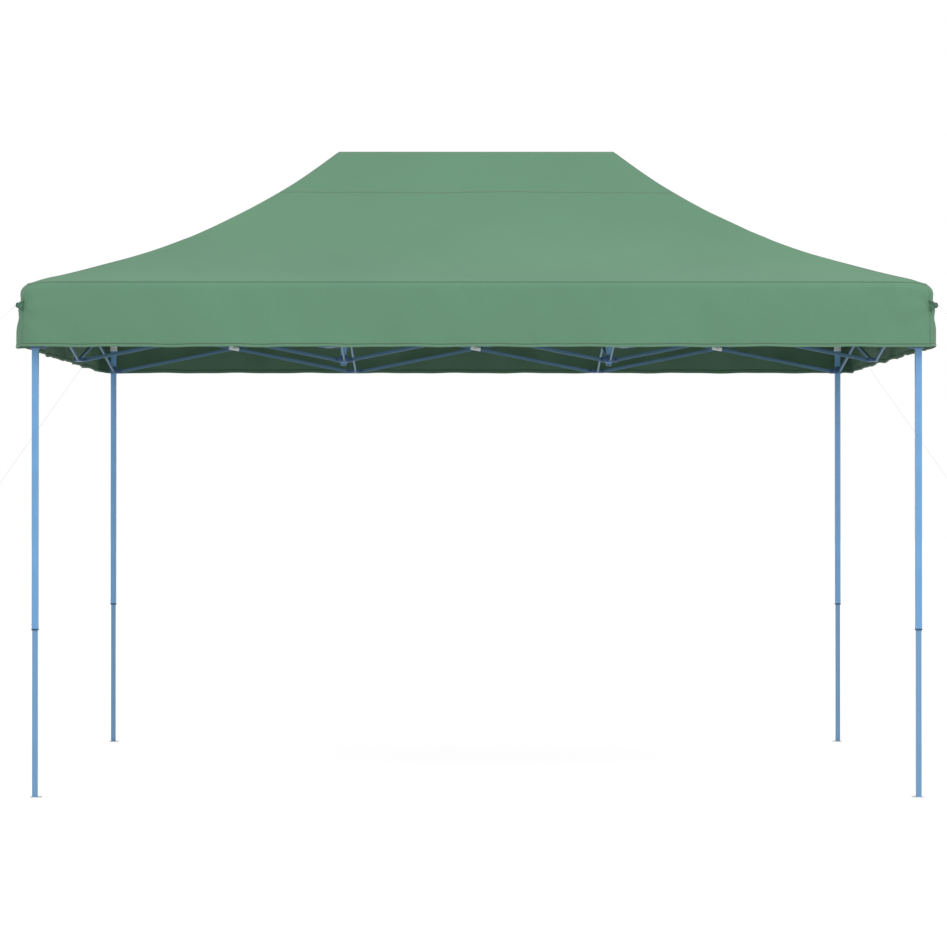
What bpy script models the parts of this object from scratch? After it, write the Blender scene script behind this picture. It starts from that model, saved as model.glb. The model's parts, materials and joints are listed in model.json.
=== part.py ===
"""Pop up gazebo: a scissor frame on four telescopic legs, under one hipped canopy.

Metres, +Z up. The origin is on the ground at the middle of the plan, +X runs
along the long side and -Y is the front.
"""

import math

import bmesh
import bpy
from mathutils import Matrix, Vector

# Plan of the frame: four columns of nodes along X, three rows along Y
COLUMN_NAMES = ("left", "mid_left", "mid_right", "right")
ROW_NAMES = ("front", "middle", "back")
LEG_SPACING_X = 4.070
LEG_SPACING_Y = 2.760
COLUMN_STEP = LEG_SPACING_X / (len(COLUMN_NAMES) - 1)
ROW_STEP = LEG_SPACING_Y / (len(ROW_NAMES) - 1)

# Heights
UPPER_PIVOT_Z = 2.335
LOWER_PIVOT_Z = 2.080
EAVE_Z = 2.370
VALANCE_BOTTOM_Z = 2.077
RIDGE_Z = 3.145

# Scissor bars: rectangular steel tube, two to a truss, riveted at the middle
BAR_HEIGHT = 0.018
BAR_THICKNESS = 0.010
BAR_WALL = 0.0006
BAR_END = 0.009
BAR_OFFSET = 0.0055
RIVET_RADIUS = 0.0040
RIVET_CLEARANCE = 0.0004
RIVET_HEAD_RADIUS = 0.0070
RIVET_HEAD = 0.0020
RIVET_SIDES = 12

# Moulded hubs: a block with a fork for each bar end
HUB_HALF = 0.0220
HUB_HEIGHT = 0.026
FORK_GAP_HALF = 0.0055
FORK_CHEEK = 0.0030
PIVOT_REACH_X = 0.036
PIVOT_REACH_Y = PIVOT_REACH_X + (ROW_STEP - COLUMN_STEP) / 2
BORE_CLEARANCE = 0.0006
HUB_SOLVER = "MANIFOLD"  # EXACT leaves gaps where fork roots lie on one line

# Legs
OUTER_TUBE = 0.030
INNER_TUBE = 0.025
TUBE_WALL = 0.0010
OUTER_BOTTOM_Z = 0.770
INNER_TOP_Z = 1.050
FOOT_THICKNESS = 0.003
FOOT_SIZE = 0.052
FOOT_INWARD = 0.0045
PEG_HOLE_RADIUS = 0.0045
PEG_HOLE_INWARD = 0.021

# Peak poles
POLE_RADIUS = 0.015
POLE_BOTTOM_Z = 2.052
POLE_TOP_Z = 3.125
POLE_SIDES = 16

# Canopy
CANOPY_HALF_X = 2.100
CANOPY_HALF_Y = 1.440
RIDGE_HALF = 0.700
CLOTH = 0.001
ROOF_LEVELS = (0.12, 0.26, 0.42, 0.60, 0.80, 1.0)
ROOF_STEEPNESS = 1.60

# Guy ropes, from a loop on each corner of the valance towards a peg
ROPE_RADIUS = 0.0015
ROPE_START_Z = 2.262
ROPE_START_OUT = 0.014
PEG_OUT = 1.950
FRONT_ROPE_SHARE = 0.045
BACK_ROPE_SHARE = 0.390
ROPE_POINTS = 16
ROPE_SAG = 0.004

# Tolerances
WELD_DISTANCE = 0.00001
FLAT_ANGLE = 0.001
HIP_TOLERANCE = 0.0001

UP = Vector((0, 0, 1))
BAR_TILT = math.atan2(UPPER_PIVOT_Z - LOWER_PIVOT_Z, COLUMN_STEP - 2 * PIVOT_REACH_X)
BAR_LENGTH = (COLUMN_STEP - 2 * PIVOT_REACH_X) / math.cos(BAR_TILT)

# Each truss runs from the node that carries its lower-going bar to the next one
TRUSSES = (
    ((1, 1), (2, 1)),
    ((1, 1), (0, 1)),
    ((2, 1), (3, 1)),
    ((1, 1), (1, 0)),
    ((1, 1), (1, 2)),
    ((2, 1), (2, 0)),
    ((2, 1), (2, 2)),
    ((1, 0), (0, 0)),
    ((1, 2), (0, 2)),
    ((2, 0), (3, 0)),
    ((2, 2), (3, 2)),
    ((1, 0), (2, 0)),
    ((1, 2), (2, 2)),
    ((0, 0), (0, 1)),
    ((0, 2), (0, 1)),
    ((3, 0), (3, 1)),
    ((3, 2), (3, 1)),
)

COLOURS = {
    "canopy_fabric": ((0.130, 0.276, 0.175), 0.85, 0.0),
    "leg_paint": ((0.162, 0.338, 0.557), 0.38, 0.0),
    "inner_leg_paint": ((0.148, 0.280, 0.474), 0.38, 0.0),
    "bar_paint": ((0.061, 0.127, 0.283), 0.42, 0.0),
    "hub_plastic": ((0.600, 0.640, 0.680), 0.55, 0.0),
    "slider_plastic": ((0.120, 0.250, 0.440), 0.50, 0.0),
    "rope": ((0.780, 0.780, 0.760), 0.90, 0.0),
}


def clear_scene():
    for thing in list(bpy.data.objects):
        bpy.data.objects.remove(thing, do_unlink=True)


def new_collection(name):
    collection = bpy.data.collections.new(name)
    bpy.context.scene.collection.children.link(collection)
    return collection


def new_material(name):
    colour, roughness, metallic = COLOURS[name]
    material = bpy.data.materials.new(name)
    material.use_nodes = True
    shader = material.node_tree.nodes["Principled BSDF"]
    shader.inputs["Base Color"].default_value = (*colour, 1)
    shader.inputs["Roughness"].default_value = roughness
    shader.inputs["Metallic"].default_value = metallic
    return material


def column_x(column):
    return column * COLUMN_STEP - LEG_SPACING_X / 2


def row_y(row):
    return row * ROW_STEP - LEG_SPACING_Y / 2


def node_place(node, z):
    return Vector((column_x(node[0]), row_y(node[1]), z))


def truss_direction(start, end):
    return Vector((end[0] - start[0], end[1] - start[1], 0))


def pivot_reach(direction):
    return PIVOT_REACH_X if direction.x else PIVOT_REACH_Y


def place_name(node):
    row = ROW_NAMES[node[1]]
    column = COLUMN_NAMES[node[0]]
    return f"{row}_{column}"


def add_object(name, data, material, location=(0, 0, 0), rotation=None):
    thing = bpy.data.objects.new(name, data)
    thing.location = location
    if rotation is not None:
        thing.rotation_euler = rotation
    if not data.materials:
        data.materials.append(MATERIALS[material])
    PARTS.objects.link(thing)
    return thing


def outline_curve(name, loops, height):
    """A flat outline with holes, as thick as height, centred on its own plane."""
    curve = bpy.data.curves.new(name, "CURVE")
    curve.dimensions = "2D"
    curve.fill_mode = "BOTH"
    curve.extrude = height / 2
    for loop in loops:
        spline = curve.splines.new("POLY")
        spline.points.add(len(loop) - 1)
        for point, (x, y) in zip(spline.points, loop):
            point.co = (x, y, 0, 1)
        spline.use_cyclic_u = True
    return curve


def mesh_from_curve(name, curve):
    """The curve's solid as a closed mesh. The curve is removed."""
    holder = bpy.data.objects.new(name + "_outline", curve)
    PARTS.objects.link(holder)
    shape = holder.evaluated_get(bpy.context.evaluated_depsgraph_get())
    mesh = bpy.data.meshes.new_from_object(shape)
    mesh.name = name
    bpy.data.objects.remove(holder, do_unlink=True)
    bpy.data.curves.remove(curve)
    weld(mesh)
    return mesh


def weld(mesh):
    """Joins the loose caps, and makes each flat stretch one face."""
    shape = bmesh.new()
    shape.from_mesh(mesh)
    bmesh.ops.remove_doubles(shape, verts=shape.verts, dist=WELD_DISTANCE)
    bmesh.ops.dissolve_limit(shape, angle_limit=FLAT_ANGLE, verts=shape.verts, edges=shape.edges)
    bmesh.ops.recalc_face_normals(shape, faces=shape.faces)
    shape.to_mesh(mesh)
    shape.free()


def prism(name, loops, bottom, top):
    """A closed mesh: an outline with holes, standing from bottom to top."""
    mesh = mesh_from_curve(name, outline_curve(name, loops, top - bottom))
    mesh.transform(Matrix.Translation((0, 0, (top + bottom) / 2)))
    return mesh


def square(half, centre=(0, 0)):
    x, y = centre
    return [(x - half, y - half), (x + half, y - half), (x + half, y + half), (x - half, y + half)]


def polygon(radius, sides, centre=(0, 0)):
    turns = [2 * math.pi * (step + 0.5) / sides for step in range(sides)]
    return [(centre[0] + radius * math.cos(t), centre[1] + radius * math.sin(t)) for t in turns]


def combined(name, base, tool, operation, solver="EXACT"):
    """The Boolean of two meshes, worked out once, as a mesh that copies can share."""
    body = bpy.data.objects.new(name + "_base", base)
    other = bpy.data.objects.new(name + "_tool", tool)
    PARTS.objects.link(body)
    CUTTERS.objects.link(other)
    other.hide_render = True
    other.display_type = "WIRE"
    boolean = body.modifiers.new("Boolean", "BOOLEAN")
    boolean.operation = operation
    boolean.solver = solver
    boolean.object = other
    shape = body.evaluated_get(bpy.context.evaluated_depsgraph_get())
    mesh = bpy.data.meshes.new_from_object(shape)
    mesh.name = name
    for thing in (body, other):
        bpy.data.objects.remove(thing, do_unlink=True)
    weld(mesh)
    return mesh


def along_y(mesh):
    mesh.transform(Matrix.Rotation(math.radians(90), 4, "X"))
    return mesh


def bar_tube(name):
    """A bar's tube along +X, with its middle at the origin."""
    half_y = BAR_THICKNESS / 2
    half_z = BAR_HEIGHT / 2
    loops = []
    for inset in (0, BAR_WALL):
        y = half_y - inset
        z = half_z - inset
        loops.append([(-z, -y), (z, -y), (z, y), (-z, y)])
    half = BAR_LENGTH / 2 + BAR_END
    mesh = prism(name, loops, -half, half)
    mesh.transform(Matrix.Rotation(math.radians(90), 4, "Y"))
    return mesh


def rivet_bar():
    """The bar that holds the middle rivet. Its origin is on its upper pivot."""
    near = BAR_THICKNESS / 2 - BAR_WALL / 2
    far = 2 * BAR_OFFSET + BAR_THICKNESS / 2 + RIVET_CLEARANCE
    shank = along_y(prism("rivet_shank", [polygon(RIVET_RADIUS, RIVET_SIDES)], -far - RIVET_HEAD / 2, -near))
    head = along_y(prism("rivet_head", [polygon(RIVET_HEAD_RADIUS, RIVET_SIDES)], -far - RIVET_HEAD, -far))
    rivet = combined("rivet", shank, head, "UNION")
    mesh = combined("lower_going_bar", bar_tube("tube"), rivet, "UNION")
    mesh.transform(Matrix.Translation((BAR_LENGTH / 2, 0, 0)))
    return mesh


def holed_bar():
    """The bar that turns on the other's rivet. Its origin is on that rivet."""
    hole = polygon(RIVET_RADIUS + RIVET_CLEARANCE, RIVET_SIDES)
    drill = along_y(prism("drill", [hole], -BAR_THICKNESS, BAR_THICKNESS))
    return combined("upper_going_bar", bar_tube("tube"), drill, "DIFFERENCE")


def bar_name(start, end):
    """A truss is named for its row and its bay, or its column and its side."""
    if start[1] == end[1]:
        bay = min(start[0], end[0]) + 1
        return f"{ROW_NAMES[start[1]]}_truss_{bay}"
    side = ROW_NAMES[min(start[1], end[1]) * 2]
    return f"{COLUMN_NAMES[start[0]]}_truss_{side}"


def make_bars():
    falling = rivet_bar()
    rising = holed_bar()
    for start, end in TRUSSES:
        direction = truss_direction(start, end)
        across = UP.cross(direction)
        heading = math.atan2(direction.y, direction.x)
        upper_pivot = node_place(start, UPPER_PIVOT_Z) + direction * pivot_reach(direction)
        step = node_place(end, 0) - node_place(start, 0)
        middle = node_place(start, (UPPER_PIVOT_Z + LOWER_PIVOT_Z) / 2) + step / 2
        name = bar_name(start, end)
        add_object(
            f"{name}_bar_down",
            falling,
            "bar_paint",
            upper_pivot - across * BAR_OFFSET,
            (0, BAR_TILT, heading),
        )
        add_object(
            f"{name}_bar_up",
            rising,
            "bar_paint",
            middle + across * BAR_OFFSET,
            (0, -BAR_TILT, heading),
        )


def hub_outline(directions, side):
    """The plan of a hub: a square block with a fork along each given direction.

    The forks stand to one side of their own lines, left for side 1 and right
    for side -1, because the two bars of a truss lie side by side.
    """
    gap = FORK_GAP_HALF
    cheek = gap + FORK_CHEEK
    offset = side * BAR_OFFSET
    points = []
    for turn in range(4):
        angle = turn * math.pi / 2
        direction = Vector((round(math.cos(angle)), round(math.sin(angle)), 0))
        left = UP.cross(direction)
        places = [(HUB_HALF, -HUB_HALF)]
        if direction in directions:
            tip = pivot_reach(direction) + BAR_END
            places += [(HUB_HALF, offset - cheek), (tip, offset - cheek)]
            places += [(tip, offset - gap), (HUB_HALF, offset - gap)]
            places += [(HUB_HALF, offset + gap), (tip, offset + gap)]
            places += [(tip, offset + cheek), (HUB_HALF, offset + cheek)]
        points += [(direction * out + left * aside).xy for out, aside in places]
    return points


def arms_of(node):
    """The directions in which trusses leave a node."""
    found = []
    for start, end in TRUSSES:
        if start == node:
            found.append(truss_direction(start, end))
        if end == node:
            found.append(truss_direction(end, start))
    return found


def hub_prism(name, node, side, holes=()):
    loops = [hub_outline(arms_of(node), side), *holes]
    return prism(name, loops, -HUB_HEIGHT / 2, HUB_HEIGHT / 2)


def make_upper_hubs():
    bore = polygon(POLE_RADIUS + BORE_CLEARANCE, POLE_SIDES)
    for column in (1, 2):
        for row in range(3):
            node = (column, row)
            holes = [bore] if row == 1 else []
            name = f"upper_hub_{place_name(node)}"
            mesh = hub_prism(name, node, -1, holes)
            add_object(name, mesh, "hub_plastic", node_place(node, UPPER_PIVOT_Z))


def make_peak_poles():
    """Each pole stands on the lower hub of its column and rises through the upper one."""
    bottom = POLE_BOTTOM_Z - LOWER_PIVOT_Z
    top = POLE_TOP_Z - LOWER_PIVOT_Z
    for column in (1, 2):
        node = (column, 1)
        name = f"peak_pole_{COLUMN_NAMES[column]}"
        ring = [polygon(POLE_RADIUS, POLE_SIDES), polygon(POLE_RADIUS - TUBE_WALL, POLE_SIDES)]
        pole = prism(name + "_tube", ring, bottom, top)
        hub = hub_prism(name + "_hub", node, 1)
        mesh = combined(name, hub, pole, "UNION", HUB_SOLVER)
        add_object(name, mesh, "leg_paint", node_place(node, LOWER_PIVOT_Z))


def corner_nodes():
    return [(column, row) for column in (0, 3) for row in (0, 2)]


def inward(node):
    """The signs that point from a corner towards the middle of the plan."""
    return Vector((1 if node[0] == 0 else -1, 1 if node[1] == 0 else -1, 0))


def make_outer_legs():
    for node in corner_nodes():
        name = f"outer_leg_{place_name(node)}"
        ring = [square(OUTER_TUBE / 2), square(OUTER_TUBE / 2 - TUBE_WALL)]
        tube = prism(name + "_tube", ring, OUTER_BOTTOM_Z - UPPER_PIVOT_Z, 0)
        bracket = hub_prism(name + "_bracket", node, -1)
        mesh = combined(name, tube, bracket, "UNION", HUB_SOLVER)
        add_object(name, mesh, "leg_paint", node_place(node, UPPER_PIVOT_Z))


def make_sliders():
    for node in corner_nodes():
        name = f"slider_{place_name(node)}"
        bore = square(OUTER_TUBE / 2 + BORE_CLEARANCE)
        mesh = hub_prism(name, node, 1, [bore])
        add_object(name, mesh, "slider_plastic", node_place(node, LOWER_PIVOT_Z))


def make_inner_legs():
    """Each lower leg slides up into the outer one and stands on a plate with a peg hole."""
    for node in corner_nodes():
        name = f"inner_leg_{place_name(node)}"
        ring = [square(INNER_TUBE / 2), square(INNER_TUBE / 2 - TUBE_WALL)]
        tube = prism(name + "_tube", ring, FOOT_THICKNESS / 2, INNER_TOP_Z)
        middle = inward(node) * FOOT_INWARD
        hole = inward(node) * PEG_HOLE_INWARD
        plan = [square(FOOT_SIZE / 2, middle.xy), polygon(PEG_HOLE_RADIUS, RIVET_SIDES, hole.xy)]
        foot = prism(name + "_foot", plan, 0, FOOT_THICKNESS)
        mesh = combined(name, tube, foot, "UNION")
        add_object(name, mesh, "inner_leg_paint", node_place(node, 0))


def roof_drop(level):
    """How far the roof has come down, 0 on the ridge and 1 at the eave: a hollow curve."""
    return ROOF_STEEPNESS * level - (ROOF_STEEPNESS - 1) * level**2


def roof_level(x, y):
    along = max(0.0, (abs(x) - RIDGE_HALF) / (CANOPY_HALF_X - RIDGE_HALF))
    return along, abs(y) / CANOPY_HALF_Y


def roof_lines(ridge_half, half):
    """The grid's lines on both sides of the ridge, in order."""
    outer = [ridge_half + (half - ridge_half) * level for level in ROOF_LEVELS]
    inner = [0.0] if ridge_half == 0 else [-ridge_half, 0.0, ridge_half]
    return [-place for place in reversed(outer)] + inner + outer


def crease_hips(shape):
    """Splits the roof's corner squares along the hips, so that each hip is one straight line."""
    for face in list(shape.faces):
        on_hip = []
        for corner in face.verts:
            along, across = roof_level(corner.co.x, corner.co.y)
            if abs(along - across) < HIP_TOLERANCE:
                on_hip.append(corner)
        if len(on_hip) == 2 and not shape.edges.get(on_hip):
            bmesh.utils.face_split(face, *on_hip)


def make_canopy():
    """One sheet: a hollow-sided hip roof whose edge turns down into a valance."""
    lines_x = roof_lines(RIDGE_HALF, CANOPY_HALF_X)
    lines_y = roof_lines(0, CANOPY_HALF_Y)
    count_x = len(lines_x) - 1
    count_y = len(lines_y) - 1
    shape = bmesh.new()
    bmesh.ops.create_grid(shape, x_segments=count_x, y_segments=count_y, size=1)
    for corner in shape.verts:
        x = lines_x[round((corner.co.x + 1) / 2 * count_x)]
        y = lines_y[round((corner.co.y + 1) / 2 * count_y)]
        z = RIDGE_Z - (RIDGE_Z - EAVE_Z) * roof_drop(max(roof_level(x, y)))
        corner.co = (x, y, z)
    crease_hips(shape)
    edges = [edge for edge in shape.edges if edge.is_boundary]
    hem = bmesh.ops.extrude_edge_only(shape, edges=edges)["geom"]
    for corner in hem:
        if isinstance(corner, bmesh.types.BMVert):
            corner.co.z = VALANCE_BOTTOM_Z
    bmesh.ops.recalc_face_normals(shape, faces=shape.faces)
    top = max(shape.faces, key=lambda face: face.calc_center_median().z)
    if top.normal.z < 0:
        bmesh.ops.reverse_faces(shape, faces=shape.faces)
    mesh = bpy.data.meshes.new("canopy")
    shape.to_mesh(mesh)
    shape.free()
    canopy = add_object("canopy", mesh, "canopy_fabric")
    thickness = canopy.modifiers.new("Cloth", "SOLIDIFY")
    thickness.thickness = CLOTH
    thickness.offset = -1
    thickness.use_even_offset = True


def rope_route(node):
    """Points along a taut rope, with the slight sag that its own weight gives it."""
    out = -inward(node)
    corner = Vector((out.x * CANOPY_HALF_X, out.y * CANOPY_HALF_Y, ROPE_START_Z))
    start = corner + out * ROPE_START_OUT
    peg = Vector((corner.x + out.x * PEG_OUT, corner.y + out.y * PEG_OUT, 0))
    share = FRONT_ROPE_SHARE if node[1] == 0 else BACK_ROPE_SHARE
    points = []
    for step in range(ROPE_POINTS):
        part = step / (ROPE_POINTS - 1)
        sag = ROPE_SAG * share * 4 * part * (1 - part)
        points.append(start.lerp(peg, share * part) - UP * sag)
    return points


def make_ropes():
    for node in corner_nodes():
        name = f"guy_rope_{place_name(node)}"
        curve = bpy.data.curves.new(name, "CURVE")
        curve.dimensions = "3D"
        curve.bevel_depth = ROPE_RADIUS
        curve.bevel_resolution = 2
        curve.use_fill_caps = True
        points = rope_route(node)
        spline = curve.splines.new("POLY")
        spline.points.add(len(points) - 1)
        for place, point in zip(spline.points, points):
            place.co = (*(point - points[0]), 1)
        add_object(name, curve, "rope", points[0])


clear_scene()
PARTS = new_collection("pop_up_gazebo")
CUTTERS = new_collection("cutters")
MATERIALS = {name: new_material(name) for name in COLOURS}
make_canopy()
make_upper_hubs()
make_peak_poles()
make_outer_legs()
make_sliders()
make_inner_legs()
make_bars()
make_ropes()
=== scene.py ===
"""The looks of the pop up gazebo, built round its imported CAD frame.

Metres, +Z up. The origin is on the ground at the middle of the plan, +X runs
along the long side and -Y is the front.
"""

import json
import math

import bmesh
import bpy
import numpy as np
from mathutils import Matrix, Vector
from mathutils.bvhtree import BVHTree

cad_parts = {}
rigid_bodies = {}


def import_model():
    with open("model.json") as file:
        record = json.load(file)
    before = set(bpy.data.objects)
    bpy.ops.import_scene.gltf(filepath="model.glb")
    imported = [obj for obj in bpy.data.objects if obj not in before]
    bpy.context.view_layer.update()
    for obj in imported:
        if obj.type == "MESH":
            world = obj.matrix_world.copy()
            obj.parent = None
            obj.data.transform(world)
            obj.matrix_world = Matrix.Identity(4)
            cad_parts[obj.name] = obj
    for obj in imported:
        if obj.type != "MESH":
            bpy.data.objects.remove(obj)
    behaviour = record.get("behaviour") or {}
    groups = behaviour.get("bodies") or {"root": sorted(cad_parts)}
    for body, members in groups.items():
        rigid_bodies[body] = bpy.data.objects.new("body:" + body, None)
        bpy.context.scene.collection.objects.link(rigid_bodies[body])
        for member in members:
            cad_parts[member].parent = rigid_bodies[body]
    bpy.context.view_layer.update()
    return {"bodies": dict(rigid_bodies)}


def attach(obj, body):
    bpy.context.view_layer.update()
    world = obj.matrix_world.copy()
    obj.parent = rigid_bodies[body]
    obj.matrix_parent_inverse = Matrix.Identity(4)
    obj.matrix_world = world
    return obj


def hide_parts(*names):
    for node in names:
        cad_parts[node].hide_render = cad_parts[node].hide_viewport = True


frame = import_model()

UP = Vector((0, 0, 1))

# The camera at the photograph's place: lens, place and turn in degrees
LENS = 103.6
SENSOR = 36
CAMERA_PLACE = (-0.033, -13.94, 1.425)
CAMERA_TURN = (90.3, 0, -0.078)

# Plan of the frame, as in the CAD
COLUMN_NAMES = ("left", "mid_left", "mid_right", "right")
ROW_NAMES = ("front", "middle", "back")
LEG_SPACING_X = 4.070
LEG_SPACING_Y = 2.760
COLUMN_STEP = LEG_SPACING_X / 3
ROW_STEP = LEG_SPACING_Y / 2
COLUMNS = [(column - 1.5) * COLUMN_STEP for column in range(4)]
UPPER_PIVOT_Z = 2.335
LOWER_PIVOT_Z = 2.080
# Each truss runs from its first node to its second. A node is a column and a row
TRUSSES = (
    ((1, 1), (2, 1)), ((1, 1), (0, 1)), ((2, 1), (3, 1)), ((1, 1), (1, 0)), ((1, 1), (1, 2)),
    ((2, 1), (2, 0)), ((2, 1), (2, 2)), ((1, 0), (0, 0)), ((1, 2), (0, 2)), ((2, 0), (3, 0)),
    ((2, 2), (3, 2)), ((1, 0), (2, 0)), ((1, 2), (2, 2)), ((0, 0), (0, 1)), ((0, 2), (0, 1)),
    ((3, 0), (3, 1)), ((3, 2), (3, 1)),
)

# Bars and hubs
BAR_HEIGHT = 0.018
BAR_THICKNESS = 0.010
BAR_WALL = 0.0008
BAR_END = 0.009
BAR_OFFSET = 0.0055
SLEEVE_WALL = 0.0008
HUB_HALF = 0.0220
HUB_HEIGHT = 0.026
LOOSE_HEIGHT = 0.019
FORK_GAP_HALF = 0.0055
FORK_CHEEK = 0.0030
HUB_PAD = 0.034
SLEEVE_HALF = 0.028
SLEEVE_SWELL = 0.0008
# The plug in a bar's end: inset, and distance back from the end
PLUG_PROFILE = ((0.0006, 0.012), (0.0006, 0.001), (-0.0002, 0.0008), (0.0010, -0.0002))
# Radius and height of the rivet heads, and their dome as shares of both
RIVET_DOME = ((0.94, 0.5), (0.70, 0.85), (0.35, 1), (0, 1))
PIN_RIVET = (0.0042, 0.0026)
MIDDLE_RIVET = (0.0058, 0.0030)
PAD_RIVET = (0.0045, 0.0030)
BRACKET_RIVET = (0.0036, 0.0020)
REACH_X = 0.036
REACH_Y = REACH_X + (ROW_STEP - COLUMN_STEP) / 2
BAR_TILT = math.atan2(UPPER_PIVOT_Z - LOWER_PIVOT_Z, COLUMN_STEP - 2 * REACH_X)
BAR_LENGTH = (COLUMN_STEP - 2 * REACH_X) / math.cos(BAR_TILT)

# Legs and poles
OUTER_TUBE = 0.030
INNER_TUBE = 0.025
TUBE_WALL = 0.0010
OUTER_BOTTOM_Z = 0.770
INNER_TOP_Z = 1.050
FOOT_THICKNESS = 0.003
FOOT_SIZE = 0.052
FOOT_INWARD = 0.0045
PEG_HOLE_RADIUS = 0.0045
PEG_HOLE_INWARD = 0.021
BRACKET = 0.0360
BRACKET_BORE = 0.0302
LIP = 0.0385
COLLAR = 0.0325
COLLAR_EDGE = 0.0014
BUTTON_RISE = 0.024
WASHER_PROFILE = ((0.0062, -0.0005), (0.0062, 0.0003), (0.0050, 0.0004), (0.0048, -0.0003), (0, -0.0003))
BUTTON_PROFILE = ((0.0040, -0.001), (0.0040, 0.0022), (0.0034, 0.0032), (0.0018, 0.0037), (0, 0.0038))
KNOB_PROFILE = ((0.0075, -0.001), (0.0075, 0.0028), (0.0064, 0.0036), (0.0030, 0.0038), (0, 0.0038))
WELD_BEAD = 0.0030
POLE_RADIUS = 0.015
POLE_BOTTOM_Z = 2.052
POLE_TOP_Z = 3.125
POLE_INNER_RADII = (0.0125, 0.0105)
POLE_INNER_BOTTOM_Z = 2.062
# The plug at the foot of a peak pole: radius, and depth under the foot
POLE_PLUG = ((0.0145, -0.004), (0.0158, -0.003), (0.0150, 0.001), (0.011, 0.003), (0, 0.003))

# Canopy
HALF_X = 2.100
HALF_Y = 1.440
RIDGE_HALF = 0.700
EAVE_Z = 2.370
RIDGE_Z = 3.145
VALANCE = 0.296
HOLLOW = 0.695
HOLLOW_EASE = 0.147
HIP_SOFT = 0.018
CLOTH = 0.001
EDGE_ROLL = 0.035
SEAM_IN_ROLL = 0.006
ROOF_EDGE_RISE = 0.0039
CORNER_ROUND = 0.060
CORNER_SPREAD = 0.040
CORNER_ROLL = 0.022
CORNER_DROP = 0.012
DROP_REACH = 0.130
CORNER_REACH = 0.200
# Waves of the valance: how many round the plan, how high, and where they start
WAVES = ((9, 0.0018, 0.4), (16, 0.0026, 1.9), (27, 0.0018, 3.1), (43, 0.0014, 5.2), (71, 0.0008, 0.8))
# Soft folds of the valance: the same, and half turns between the eave and the hem
DRAPES = ((13, 0.0050, 0.9, 0.5), (29, 0.0034, 2.6, 0.5), (47, 0.0030, 4.4, 1.5), (67, 0.0020, 0.3, 1.5))
# The hem's rise and fall: radians to a metre, height and start, and its share on the short and long sides
HEM_WAVES = ((15, 0.0018, 0.6), (31, 0.0009, 2.0))
HEM_WAVE_SHARES = (1.6, 0.8)
# How far the valance stands out at the hem, at the hem's corners and half way down
FLARE = 0.006
CORNER_FLARE = 0.018
FLARE_REACH = 0.24
BELLY = 0.005
# Level from which the slopes meet in a sharp edge
SHARP_LEVEL = 0.995
# Distance between the roof's grid lines, and extra lines near its edge
GRID_STEP = 0.020
GRID_EDGE = (0.004, 0.010)

# Folds that fan out from the corner loops
FAN_HEIGHT = 0.0045
FAN_FOLDS = 8
FAN_REACH = 0.200

# Part of a bay's sine that the hubs take up when the frame is folded
HUB_SHARE = 0.70
# How deep the pleats fall between columns and between rows, as shares of PLEAT_DROP of the poles' travel
PLEAT_X = 0.50
PLEAT_Y = 0.36
PLEAT_DROP = 0.62
# Height over the eave from which the cloth goes with the poles, and the rise to where it would do so fully
POLE_HOLD = 0.03
POLE_HOLD_RISE = 1.05

# Ropes
ROPE_RADIUS = 0.0015
ROPE_START_Z = 2.262
ROPE_START_OUT = 0.014
PEG_OUT = 1.950
FRONT_ROPE_SHARE = 0.045
BACK_ROPE_SHARE = 0.390
ROPE_POINTS = 16
ROPE_SAG = 0.004
WEBBING_HALF = 0.0007
# The stiff tab of a corner loop: place along the loop and height
TAB_OUTLINE = (
    (0.002, 0.007), (-0.016, 0.020), (-0.034, 0.024),
    (-0.034, -0.036), (-0.016, -0.022), (0.002, -0.007),
)


# ---------------------------------------------------------------- camera
def make_camera():
    data = bpy.data.cameras.new("camera")
    data.lens = LENS
    data.sensor_width = SENSOR
    camera = add_object("camera", data, CAMERA_PLACE, [math.radians(turn) for turn in CAMERA_TURN])
    bpy.context.scene.camera = camera


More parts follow.
